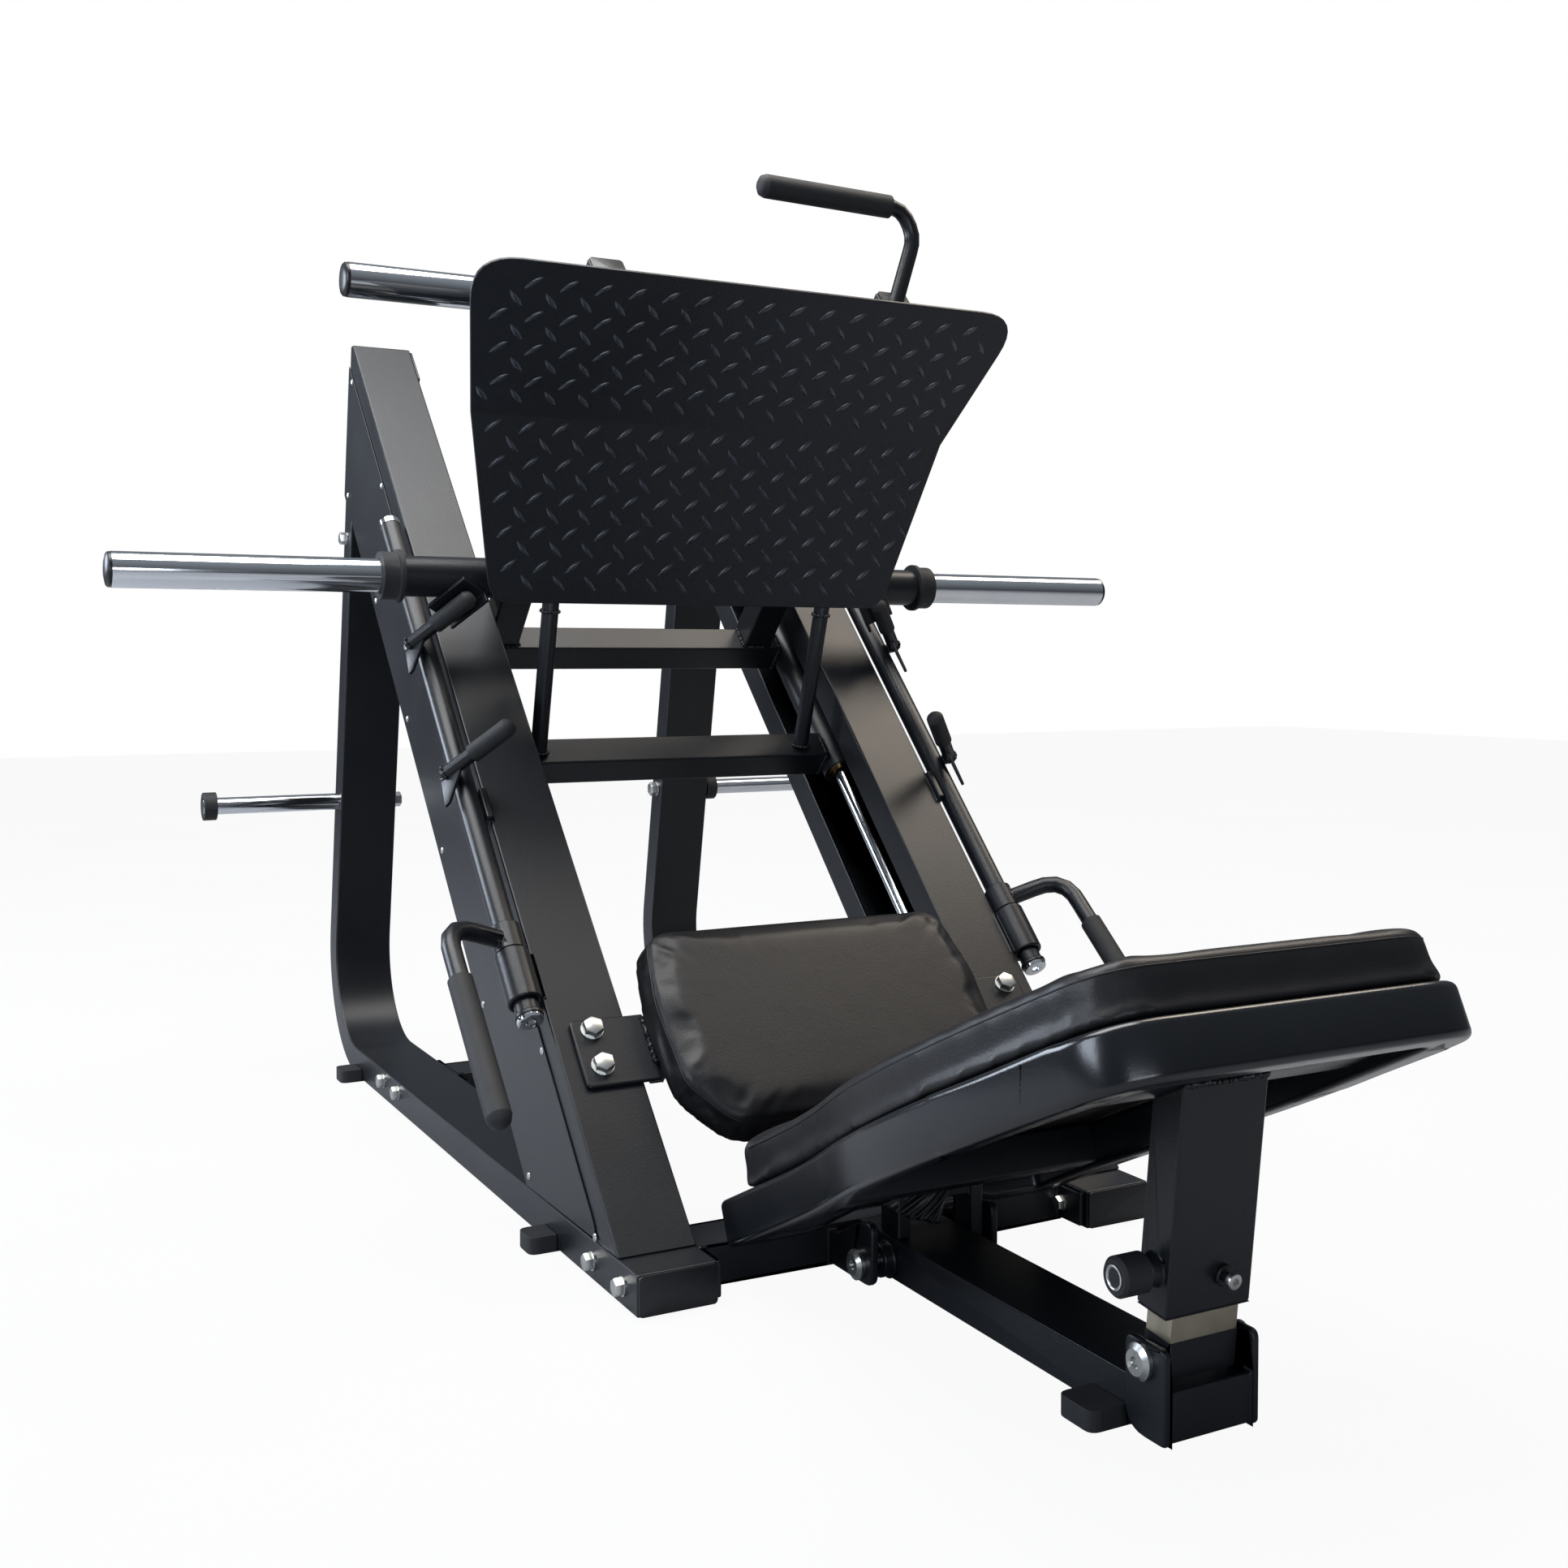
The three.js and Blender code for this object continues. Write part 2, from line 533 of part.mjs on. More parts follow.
function leverTube(side) {
  const axis = (s) => atSide(side, LEVER_X, s, LEVER_N);
  const tube = bar(axis(LEVER_S[0]), axis(LEVER_S[1]), LEVER_R, 24);
  const collar = bar(axis(520), axis(560), 21, 24);
  const arm = bentTube([
    atSide(side, LEVER_X, 540, LEVER_N), atSide(side, 482, 542, 38), atSide(side, 485, 240, 62)], 12.5, 46, 22, 12);
  const pegs = PEG_S.map((s) => bar(
    atSide(side, PEG_ROOT[0], s, PEG_ROOT[1]), atSide(side, 352, s, PEG_ROOT[1] + 88.4), PEG_R, 20));
  const necks = PEG_S.map((s) => bar(axis(s), atSide(side, PEG_ROOT[0] + 3, s, PEG_ROOT[1] + 1), 8, 16));
  return join(tube, collar, arm, ...necks, ...pegs);
}

function pegSleeve(side, s) {
  const run = [PEG_TIP[0] - PEG_ROOT[0], PEG_TIP[1] - PEG_ROOT[1]];
  const length = Math.hypot(...run);
  const start = [PEG_ROOT[0] + run[0] * 0.42, PEG_ROOT[1] + run[1] * 0.42];
  const inner = PEG_R + GAP;
  const reach = length * 0.58;
  const rodReach = Math.hypot(352 - start[0], PEG_ROOT[1] + 88.4 - start[1]) + GAP;
  const outline = [
    [inner, 0], [PEG_SLEEVE_R, 0], [PEG_SLEEVE_R, reach - 9], [PEG_SLEEVE_R - 4, reach - 3], [0, reach],
    [0, rodReach], [inner, rodReach], [inner, 0]];
  return turned(outline, atSide(side, start[0], s, start[1]), atSide(side, PEG_TIP[0], s, PEG_TIP[1]), 20);
}

function leverGrip(side) {
  const inner = 12.5 + GAP;
  const outline = [
    [inner, 0], [16, 0], [16, 207], [13, 216], [7, 221], [0, 223], [0, 212], [inner, 212], [inner, 0]];
  return turned(outline, atSide(side, 482.9, 450, 45.3), atSide(side, 485, 240, 62), 20);
}

// ---- Backrest -----------------------------------------------------------------------------
// Half widths of the outline at stations along its length.
const BACK_OUTLINE = [[0, 236, 14], [0.28, 229, 600], [0.53, 276, 780], [0.8, 250, 1200], [1, 218, 80]];

function backOutline(inset, start, end) {
  const right = BACK_OUTLINE.map(([t, w, r]) => [
    w - inset, Math.min(Math.max(t * BACK_L, start), BACK_L - end), Math.max(r - inset, 8)]);
  const left = right.map(([w, t, r]) => [-w, t, r]).reverse();
  return rounded([...right, ...left]);
}

// The machine's (y, z) seen in the backrest's own (along, off) frame.
function inBack(y, z) {
  const dy = y - BACK_Y;
  const dz = z - BACK_Z;
  return [-dy * Math.cos(BACK_TILT) + dz * Math.sin(BACK_TILT), dy * Math.sin(BACK_TILT) + dz * Math.cos(BACK_TILT)];
}

const RIM_W = 42;
const STAY_TOP = [-552, 330];     // where the stay meets the frame's underside, (y, z)
const STAY_TOP_T = inBack(...STAY_TOP)[0];
const SEAT_M = 14;                // underside of the plank that the stay is welded to

function backFrame() {
  const loop = backOutline(0, 0, 0);
  const hole = backOutline(RIM_W, RIM_W - 4, RIM_W);
  loop.holes.push(hole);
  const [hingeT, hingeM] = inBack(...PIVOT_A);
  const tieT = hingeT + 66;
  const tie = block(-235, 235, tieT, tieT + 36, 8, BACK_RIM_H - 1);
  const lugShape = rounded([
    [hingeT - 20, hingeM - 20, 14], [tieT + 4, hingeM - 20], [tieT + 4, hingeM + 20], [hingeT - 20, hingeM + 20, 14]]);
  const lugs = SIDES.map(([, side]) => profile(lugShape, side * 76, side * 84));
  const bore = bar([-120, hingeT, hingeM], [120, hingeT, hingeM], 10.6);
  const seat = block(-235, 235, STAY_TOP_T - 32, STAY_TOP_T + 32, SEAT_M, BACK_RIM_H - 4);
  const beamArch = block(-100, 100, -2, RIM_W + 4, -1, 17);
  return cut(join(sheet(loop, 0, BACK_RIM_H, 8), tie, ...lugs, seat), bore, beamArch);
}

function backPad() {
  return sheet(backOutline(6, 58, 3), BACK_RIM_H + 1, BACK_RIM_H + BACK_PAD_H, 8);
}

// Telescopic stay: a black sleeve under the backrest slides on a bare inner post.
const stay = new THREE.Group();
stay.position.set(0, ...PIVOT_B);
stay.rotation.x = STAY_LEAN;
machine.add(stay);
const SLEEVE_Z = [49, 296];

function staySleeve() {
  const outer = block(-52.5, 52.5, -22, 22, ...SLEEVE_Z);
  const inner = block(-49.5, 49.5, -19, 19, SLEEVE_Z[0] - 1, SLEEVE_Z[1] + 1);
  const topCut = block(-80, 80, -120, 120, 0, 200);
  topCut.rotateX(BACK_TILT * -1 - STAY_LEAN);
  const climb = new THREE.Vector3(0, STAY_TOP[0] - PIVOT_B[0], STAY_TOP[1] - PIVOT_B[1]);
  climb.applyAxisAngle(new THREE.Vector3(1, 0, 0), -STAY_LEAN);
  topCut.translate(0, climb.y, climb.z + SEAT_M + 2);
  const boss = bar([-67, 0, 92], [-49.3, 0, 92], 15.5);
  const pinBore = bar([-72, 0, 92], [-40, 0, 92], 7.6);
  return cut(join(outer, boss), inner, topCut, pinBore);
}

function stayPost() {
  const post = block(-41.5, 41.5, -18.5, 18.5, -16, 236);
  const slot = block(-45, -30, -8.5, 8.5, 82, 150);
  const bore = bar([-80, 0, 0], [80, 0, 0], 8.6);
  return cut(post, slot, bore);
}

function pullKnob() {
  const outline = [[0, 0], [7, 0], [7, 29.5], [20, 29.5], [20, 58], [17, 61], [0, 61]];
  return turned(outline, [-39.5, 0, 92], [-100, 0, 92], 28);
}

// ---- Assembly -----------------------------------------------------------------------------
for (const [name, side] of SIDES) {
  place(machine, `base_frame_${name}`, baseTube(side), blackPaint);
  place(slope, `rail_${name}`, rail(side), blackPaint);
  place(slope, `rail_cover_${name}`, railCover(side), blackPaint);
  place(slope, `guide_rod_${name}`,
    bar([side * ROD_X, 206, ROD_N], [side * ROD_X, 1690, ROD_N], ROD_R, 32), chrome);
  place(machine, `foot_front_${name}`, foot(side, RAIL_OUT + GAP, 268, 316, 36), rubber);
  place(machine, `foot_rear_${name}`, foot(side, RAIL_OUT + GAP, 1290, 1338, 36), rubber);
  place(machine, `storage_pin_${name}`, storagePin(side), chrome);
  place(machine, `storage_ring_${name}`, storageRing(side), rubber);
}
place(machine, 'front_cross_member', frontCrossMember(), blackPaint);
place(machine, 'rear_cross_member', crossMember(1050, 1130, 48), blackPaint);
place(machine, 'back_beam', backBeam(), blackPaint);
place(machine, 'foot_back_beam', foot(-1, BEAM_HALF + GAP, -491, -434, 44), rubber);
place(machine, 'head_bracket', headBracket(), blackPaint);
place(machine, 'head_pivot_bolt', pivotBolt(...PIVOT_B, BEAM_HALF + 9 + GAP), zinc);
place(machine, 'front_pivot_bolt', pivotBolt(CLEVIS_Y, CLEVIS_Z, CHEEK_X[1] + GAP), zinc);
place(machine, 'hinge_stand', hingeStand(), blackPaint);
place(slope, 'seat_carrier', seatCarrier(), blackPaint);
place(slope, 'seat_pad', seatPad(), vinyl);

place(slope, 'sled_lower_crossbar', crossbar(LOWER_BAR_S), blackPaint);
place(slope, 'sled_upper_crossbar', crossbar(UPPER_BAR_S), blackPaint);
place(slope, 'horn_cross_tube', hornTube(), blackPaint);
for (const [name, side] of SIDES) {
  place(slope, `bearing_tube_${name}`, bearingTube(side), blackPaint);
  place(slope, `bearing_sleeve_${name}`, bearingSleeve(side), bronze);
  place(slope, `sled_post_${name}`, sledPost(side), blackPaint);
  place(slope, `sled_strut_${name}`, strut(side), blackPaint);
  place(slope, `horn_collar_${name}`, hornCollar(side), rubber);
  place(slope, `horn_catch_${name}`, hornCatch(side), blackPaint);
  place(slope, `main_horn_${name}`, mainHorn(side), chrome);
}
place(slope, 'upper_horn', upperHorn(), chrome);
place(slope, 'footplate', footplate(), blackPaint);
place(machine, 'push_handle', pushHandle(), blackPaint);
place(machine, 'push_grip', pushGrip(), rubber);

for (const [name, side] of SIDES) {
  place(slope, `lever_${name}`, leverTube(side), blackPaint);
  place(slope, `lever_grip_${name}`, leverGrip(side), rubber);
  place(slope, `lower_peg_sleeve_${name}`, pegSleeve(side, PEG_S[0]), rubber);
  place(slope, `upper_peg_sleeve_${name}`, pegSleeve(side, PEG_S[1]), rubber);
}

place(back, 'back_frame', backFrame(), blackPaint);
place(back, 'back_pad', backPad(), vinyl);
place(stay, 'stay_sleeve', staySleeve(), blackPaint);
place(stay, 'stay_post', stayPost(), bareSteel);
place(stay, 'pull_knob', pullKnob(), rubber);

// The origin is the middle of the machine's footprint, on the floor.
const bounds = new THREE.Box3().setFromObject(machine);
machine.position.y = -(bounds.min.y + bounds.max.y) / 2;

export default machine;
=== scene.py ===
# %% [markdown]
# # A plate-loaded leg press
# This notebook dresses the steel frame of a leg press: satin powder coat, chrome weight horns, a
# tread-plate footplate, rubber grips and two upholstered pads. The frame comes in as fixed parts, and
# every new piece is placed from those parts, in metres, with +Z up.

# %% Load the frame
import json
import math

import bmesh
import bpy
from mathutils import Matrix, Vector
from mathutils.bvhtree import BVHTree


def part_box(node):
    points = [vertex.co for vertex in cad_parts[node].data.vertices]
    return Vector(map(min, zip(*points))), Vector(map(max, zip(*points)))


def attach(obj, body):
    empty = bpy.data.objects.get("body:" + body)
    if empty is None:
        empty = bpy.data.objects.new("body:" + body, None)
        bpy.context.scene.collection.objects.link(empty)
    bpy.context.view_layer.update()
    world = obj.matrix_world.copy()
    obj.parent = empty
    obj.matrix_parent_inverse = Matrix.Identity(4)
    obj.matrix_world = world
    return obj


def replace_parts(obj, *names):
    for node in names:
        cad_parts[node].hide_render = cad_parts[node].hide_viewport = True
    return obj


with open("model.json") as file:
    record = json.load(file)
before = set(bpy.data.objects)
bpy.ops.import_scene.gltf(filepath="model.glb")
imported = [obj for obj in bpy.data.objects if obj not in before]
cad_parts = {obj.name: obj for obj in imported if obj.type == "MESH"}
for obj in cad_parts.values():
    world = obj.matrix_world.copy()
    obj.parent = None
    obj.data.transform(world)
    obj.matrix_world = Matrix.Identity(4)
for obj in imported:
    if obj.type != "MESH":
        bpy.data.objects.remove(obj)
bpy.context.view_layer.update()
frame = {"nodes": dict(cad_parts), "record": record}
bodies = frame["record"]["behaviour"]["bodies"]
body_of_node = {node: body for body, nodes in bodies.items() for node in nodes}
slot_of_node = {part["node"]: part["material_slot"] for part in frame["record"]["subparts"]}

# %% [markdown]
# ## Places to work from
# The rails lean 45 degrees, so pieces on them are easiest to place in a leaning frame: x across, s up
# the slope, n standing off it. The backrest and its stay get frames of their own in the same way, LEVEL
# only moves the start to the front of the base, and STILL leaves a piece where it is.

# %% Working frames
front_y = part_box("base_frame_left")[0].y
SLOPE = Matrix.Translation((0, front_y, 0.004)) @ Matrix.Rotation(math.radians(45), 4, "X")
BACK_TILT = math.radians(25.4)
BACK = (
    Matrix.Translation((0, front_y + 0.044, 0.047))
    @ Matrix.Rotation(-BACK_TILT, 4, "X")
    @ Matrix.Rotation(math.pi, 4, "Z")
)
STAY = Matrix.Translation((0, front_y - 0.524, 0.078)) @ Matrix.Rotation(math.radians(6.2), 4, "X")
LEVEL = Matrix.Translation((0, front_y, 0))
STILL = Matrix.Identity(4)
SIDES = (("left", -1), ("right", 1))
print("slope frame starts at y =", round(front_y, 4))

# %% [markdown]
# ## Colours and nodes
# Colours are written as sRGB hex, the way a paint chart gives them, and one function turns them to the
# linear values that the renderer works in. A second small function adds a node with its settings and
# links, which keeps each material short enough to read, and cells turns the real size of a pattern in
# millimetres into its scale, which counts how often it repeats in a metre.

# %% Colour and node helpers
def linear(hex_colour):
    channels = [int(hex_colour[i : i + 2], 16) / 255 for i in (1, 3, 5)]
    return [c / 12.92 if c <= 0.04045 else ((c + 0.055) / 1.055) ** 2.4 for c in channels] + [1.0]


def add(tree, kind, inputs=None, **settings):
    made = tree.nodes.new("ShaderNode" + kind)
    for key, value in settings.items():
        setattr(made, key, value)
    for key, value in (inputs or {}).items():
        if isinstance(value, bpy.types.NodeSocket):
            tree.links.new(value, made.inputs[key])
        else:
            made.inputs[key].default_value = value
    return made


def start_material(name):
    material = bpy.data.materials.new(name)
    material.use_nodes = True
    material.node_tree.nodes.clear()
    tree = material.node_tree
    return material, tree, add(tree, "TexCoord").outputs["Object"]


def finish_material(tree, shader):
    add(tree, "OutputMaterial", {"Surface": shader.outputs["BSDF"]})


def blend_colours(tree, factor, low, high):
    ramp = add(tree, "ValToRGB", {"Fac": factor})
    ramp.color_ramp.elements[0].color = linear(low)
    ramp.color_ramp.elements[1].color = linear(high)
    return ramp.outputs["Color"]


def cells(size_mm):
    return 1000 / size_mm


def span(tree, value, low, high):
    return add(tree, "MapRange", {"Value": value, "To Min": low, "To Max": high}).outputs["Result"]


print("black paint in linear light:", [round(v, 4) for v in linear("#141619")])

# %% [markdown]
# ## Satin black powder coat
# Powder is sprayed dry and baked, so it flows into a fine orange peel about 1.5 mm across and takes a
# soft sheen with slightly duller patches. The peel is drawn at 3 mm so that it shows at this size.

# %% Powder coat
def powder_coat(name, dark, light, sheen, peel, gloss=0.34):
    material, tree, where = start_material(name)
    patches = add(tree, "TexNoise", {"Vector": where, "Scale": 7.0, "Detail": 4.0}).outputs["Fac"]
    grit = add(tree, "TexNoise", {"Vector": where, "Scale": cells(3.03), "Detail": 2.0}).outputs["Fac"]
    specks = add(tree, "TexNoise", {"Vector": where, "Scale": cells(1.11), "Detail": 1.0}).outputs["Fac"]
    bump = add(tree, "Bump", {"Height": grit, "Strength": peel, "Distance": 0.0004})
    rough = add(tree, "Math", {
        0: span(tree, patches, sheen, sheen + 0.1), 1: span(tree, specks, -0.05, 0.05)}).outputs[0]
    finish_material(tree, add(tree, "BsdfPrincipled", {
        "Base Color": blend_colours(tree, patches, dark, light), "Roughness": rough,
        "Normal": bump.outputs["Normal"], "Specular IOR Level": gloss, "IOR": 1.5}))
    return material


POWDER = powder_coat("satin_black_powder_coat", "#0d0f12", "#15181c", 0.3, 0.35)
RIM_POWDER = powder_coat("glossy_black_powder_coat", "#0b0d10", "#101317", 0.17, 0.16, 0.5)
TREAD_POWDER = powder_coat("textured_black_powder_coat", "#0f1216", "#181c22", 0.36, 0.9)
# The lugs are painted lighter than the plate under them. This is a painted highlight for the light their
# slopes catch. Their lower roughness and stronger gloss are real.
LUG_POWDER = powder_coat("glossy_lug_powder_coat_painted_highlight", "#1b2026", "#2d343c", 0.2, 0.3, 0.7)
print("powder coats:", POWDER.name, TREAD_POWDER.name)

# %% [markdown]
# ## Upholstery vinyl
# Gym pads are covered in coated vinyl: smooth, with a shallow leather grain of cells about 1.5 mm wide.
# A Voronoi cell pattern pressed in as a low bump gives the grain, drawn a little coarse so it shows.

# %% Vinyl
def vinyl_cover():
    material, tree, where = start_material("black_upholstery_vinyl")
    leather = add(tree, "TexVoronoi", {"Vector": where, "Scale": cells(2.38)}, feature="SMOOTH_F1")
    creases = add(tree, "TexNoise", {"Vector": where, "Scale": 28.0, "Detail": 5.0}).outputs["Fac"]
    grain = add(tree, "Bump", {"Height": leather.outputs["Distance"], "Strength": 0.22, "Distance": 0.0005})
    soft = add(tree, "Bump", {
        "Height": creases, "Strength": 0.12, "Distance": 0.003, "Normal": grain.outputs["Normal"]})
    finish_material(tree, add(tree, "BsdfPrincipled", {
        "Base Color": blend_colours(tree, creases, "#0b0b0d", "#131315"),
        "Roughness": span(tree, creases, 0.36, 0.48), "Normal": soft.outputs["Normal"],
        "Specular IOR Level": 0.34, "IOR": 1.47}))
    return material


VINYL = vinyl_cover()
print("vinyl:", VINYL.name)

# %% [markdown]
# ## Rubber and moulded plastic
# Moulded rubber is matt and a little grey where it is handled. Injection-moulded ABS caps are smoother,
# with a faint spark-eroded texture.

# %% Rubber and plastic
def moulded(name, dark, light, low, high, grain_mm, strength):
    material, tree, where = start_material(name)
    wear = add(tree, "TexNoise", {"Vector": where, "Scale": 30.0, "Detail": 5.0}).outputs["Fac"]
    grain = add(tree, "TexNoise", {"Vector": where, "Scale": cells(grain_mm), "Detail": 2.0}).outputs["Fac"]
    bump = add(tree, "Bump", {"Height": grain, "Strength": strength, "Distance": 0.0004})
    finish_material(tree, add(tree, "BsdfPrincipled", {
        "Base Color": blend_colours(tree, wear, dark, light), "Roughness": span(tree, wear, low, high),
        "Normal": bump.outputs["Normal"], "Specular IOR Level": 0.4, "IOR": 1.5}))
    return material


RUBBER = moulded("matt_black_rubber", "#121315", "#1d1e20", 0.58, 0.76, 2.0, 0.5)
ABS_BLACK = moulded("black_abs", "#0c0d0f", "#131417", 0.28, 0.4, 1.2, 0.2)
print("moulded finishes:", RUBBER.name, ABS_BLACK.name)

# %% [markdown]
# ## Metals left bright
# Chrome plate is nearly a mirror with hairline drag marks. Zinc plate is softer and slightly mottled.
# The stay's inner post is bare drawn steel with a warm oxide stain. Bearing bronze is dull gold.

# %% Bright metals
def bright_metal(name, dark, light, low, high, drag, mottle=12.0):
    material, tree, where = start_material(name)
    stretched = add(tree, "Mapping", {"Vector": where, "Scale": drag})
    lines = add(tree, "TexNoise", {"Vector": stretched.outputs["Vector"], "Scale": 90.0, "Detail": 4.0})
    patches = add(tree, "TexNoise", {"Vector": where, "Scale": mottle, "Detail": 5.0}).outputs["Fac"]
    bump = add(tree, "Bump", {"Height": lines.outputs["Fac"], "Strength": 0.05, "Distance": 0.0002})
    finish_material(tree, add(tree, "BsdfPrincipled", {
        "Base Color": blend_colours(tree, patches, dark, light), "Metallic": 1.0,
        "Roughness": span(tree, lines.outputs["Fac"], low, high), "Normal": bump.outputs["Normal"]}))
    return material


CHROME = bright_metal("polished_chrome", "#cfd2d6", "#e4e6e8", 0.05, 0.12, (0.1, 3.0, 3.0))
ROD_CHROME = bright_metal("ground_guide_rod", "#c6cacf", "#dfe2e5", 0.08, 0.18, (3.0, 0.4, 0.4))
ZINC = bright_metal("zinc_plate", "#a9aaa6", "#d2d3d0", 0.22, 0.38, (1.0, 1.0, 1.0), 60.0)
BARE_STEEL = bright_metal("bare_drawn_steel", "#8b8371", "#c4bda9", 0.28, 0.5, (1.5, 1.5, 0.2), 22.0)
BRONZE = bright_metal("bearing_bronze", "#8a6a3c", "#a9884f", 0.3, 0.45, (1.0, 1.0, 1.0))
FINISHES = {
    "black_paint": POWDER, "rubber": RUBBER, "vinyl": VINYL, "chrome": CHROME,
    "zinc": ZINC, "bare_steel": BARE_STEEL, "bronze": BRONZE,
}
for name, part in frame["nodes"].items():
    part.data.materials.clear()
    part.data.materials.append(FINISHES[slot_of_node[name]])
print("metals:", [m.name for m in (CHROME, ROD_CHROME, ZINC, BARE_STEEL, BRONZE)])

# %% [markdown]
# ## From a bmesh to a finished piece
# Every piece ends the same way: it is moved to its place, its faces are turned outwards, it is shaded
# smooth with its hard edges kept, and it rides on one of the machine's moving bodies.

# %% Finish a piece
def make_piece(name, mesh, material, body, place=LEVEL, smooth=35):
    bmesh.ops.transform(mesh, matrix=place, verts=mesh.verts)
    bmesh.ops.recalc_face_normals(mesh, faces=mesh.faces)
    data = bpy.data.meshes.new(name)
    mesh.to_mesh(data)
    mesh.free()
    data.materials.append(material)
    data.shade_smooth()
    data.set_sharp_from_angle(angle=math.radians(smooth))
    piece = bpy.data.objects.new(name, data)
    bpy.context.collection.objects.link(piece)
    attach(piece, body)
    return piece


def soften_edges(piece, width, segments=2):
    bevel = piece.modifiers.new("rounded edges", "BEVEL")
    bevel.width = width
    bevel.segments = segments
    bevel.limit_method = "ANGLE"
    bevel.angle_limit = math.radians(32)
    bevel.use_clamp_overlap = False
    bevel.harden_normals = True
    return piece


print("piece helpers ready")

# %% [markdown]
# ## Rounded steel
# Real tube has rounded corners and every edge catches a thin line of light. Each frame part is copied,
# its loose triangles are merged and its flat faces joined, and a small bevel rounds its edges. The
# copy then stands for the part it came from.

# %% Copy a frame part with rounded edges
def merged_copy(node):
    mesh = bmesh.new()
    mesh.from_mesh(frame["nodes"][node].data)
    bmesh.ops.remove_doubles(mesh, verts=mesh.verts, dist=2e-5)
    bmesh.ops.dissolve_limit(
        mesh, angle_limit=math.radians(0.8), verts=mesh.verts, edges=mesh.edges,
        use_dissolve_boundaries=False)
    return mesh


def rounded_part(node, width, material=None, segments=2):
    mesh = merged_copy(node)
    finish = material or FINISHES[slot_of_node[node]]
    piece = make_piece(
        node + "_finished", mesh, finish, body_of_node[node], STILL)
    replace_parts(piece, node)
    return soften_edges(piece, width, segments) if width else piece


TUBE_PARTS = [
    "front_cross_member", "rear_cross_member", "back_beam", "hinge_stand", "seat_carrier",
    "sled_lower_crossbar", "sled_upper_crossbar", "stay_sleeve", "head_bracket",
]
THIN_PARTS = ["horn_cross_tube", "push_handle", "stay_post", "foot_back_beam"]
for side, _ in SIDES:
    TUBE_PARTS += [f"base_frame_{side}", f"rail_{side}", f"sled_post_{side}"]
    THIN_PARTS += [f"rail_cover_{side}", f"sled_strut_{side}", f"horn_catch_{side}", f"lever_{side}",
                   f"bearing_tube_{side}", f"horn_collar_{side}", f"storage_ring_{side}",
                   f"foot_front_{side}", f"foot_rear_{side}"]
for nodes, width in ((TUBE_PARTS, 0.003), (THIN_PARTS, 0.0008)):
    for node in nodes:
        rounded_part(node, width)
rounded_part("footplate", 0.0012, TREAD_POWDER)
print("rounded steel parts:", len(TUBE_PARTS) + len(THIN_PARTS) + 1)

# %% [markdown]
# ## Smooth round parts
# Grips, pegs, rods and bolts are already the right shape. They are copied the same way but get no bevel:
# smooth shading alone hides the flats of the round faces.

# %% Round parts
ROUND_PARTS = ["push_grip", "pull_knob", "head_pivot_bolt", "front_pivot_bolt"]
for side, _ in SIDES:
    ROUND_PARTS += [f"lever_grip_{side}", f"lower_peg_sleeve_{side}", f"upper_peg_sleeve_{side}",
                    f"guide_rod_{side}", f"bearing_sleeve_{side}", f"storage_pin_{side}"]
for node in ROUND_PARTS:
    rounded_part(node, 0.0, ROD_CHROME if node.startswith("guide_rod") else None)
print("round parts:", len(ROUND_PARTS))

# %% [markdown]
# ## Turned pieces
# A cap, a horn or a screw head is a shape of revolution: its outline is drawn as radius against
# distance, and spin carries it once round the axis.

# %% Spin an outline
def aimed(mesh, start, towards):
    aim = (Vector(towards) - Vector(start)).to_track_quat("Z", "Y").to_matrix().to_4x4()
    bmesh.ops.transform(mesh, matrix=Matrix.Translation(start) @ aim, verts=mesh.verts)
    return mesh


def turned(outline, start, towards, steps=48):
    mesh = bmesh.new()
    points = [mesh.verts.new((radius, 0, along)) for radius, along in outline]
    edges = [mesh.edges.new(pair) for pair in zip(points, points[1:])]
    bmesh.ops.spin(
        mesh, geom=points + edges, axis=(0, 0, 1), cent=(0, 0, 0), angle=2 * math.pi, steps=steps,
        use_merge=True)
    bmesh.ops.remove_doubles(mesh, verts=mesh.verts, dist=1e-6)
    return aimed(mesh, start, towards)


HORN_S, HORN_N, HORN_R = 1.1345, 0.092, 0.025
HORN_ROOT, CAP_T = 0.4343, 0.009
CAP = [(0, 0), (HORN_R - 0.0006, 0), (HORN_R - 0.0006, 0.004), (HORN_R - 0.003, 0.0065),
       (HORN_R - 0.012, 0.0085), (0, CAP_T)]


def horn_bar(name, node, length, root, out):
    bar = turned([(0, 0), (HORN_R, 0), (HORN_R, length), (0, length)], root, out, 64)
    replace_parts(make_piece(name, bar, CHROME, "sled", SLOPE), node)


horn_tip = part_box("main_horn_right")[1].x
for side, sign in SIDES:
    out = [sign, HORN_S, HORN_N]
    horn_bar(f"main_horn_{side}_bar", f"main_horn_{side}", horn_tip - HORN_ROOT - CAP_T,
             [sign * HORN_ROOT, HORN_S, HORN_N], out)
    at = [sign * (horn_tip - CAP_T), HORN_S, HORN_N]
    make_piece(f"horn_end_cap_{side}", turned(CAP, at, out), ABS_BLACK, "sled", SLOPE)
print("main horns reach x =", round(horn_tip, 4))

# %% Upper horn with its caps
UPPER_S, UPPER_N = 1.437, 0.3875
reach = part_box("upper_horn")[1].x
horn_bar("upper_horn_bar", "upper_horn", 2 * (reach - CAP_T), [-reach + CAP_T, UPPER_S, UPPER_N],
         [1, UPPER_S, UPPER_N])
for side, sign in SIDES:
    at = [sign * (reach - CAP_T), UPPER_S, UPPER_N]
    cap = turned(CAP, at, [sign * 2, UPPER_S, UPPER_N])
    make_piece(f"upper_horn_cap_{side}", cap, ABS_BLACK, "sled", SLOPE)
print("upper horn reaches x =", round(reach, 4))

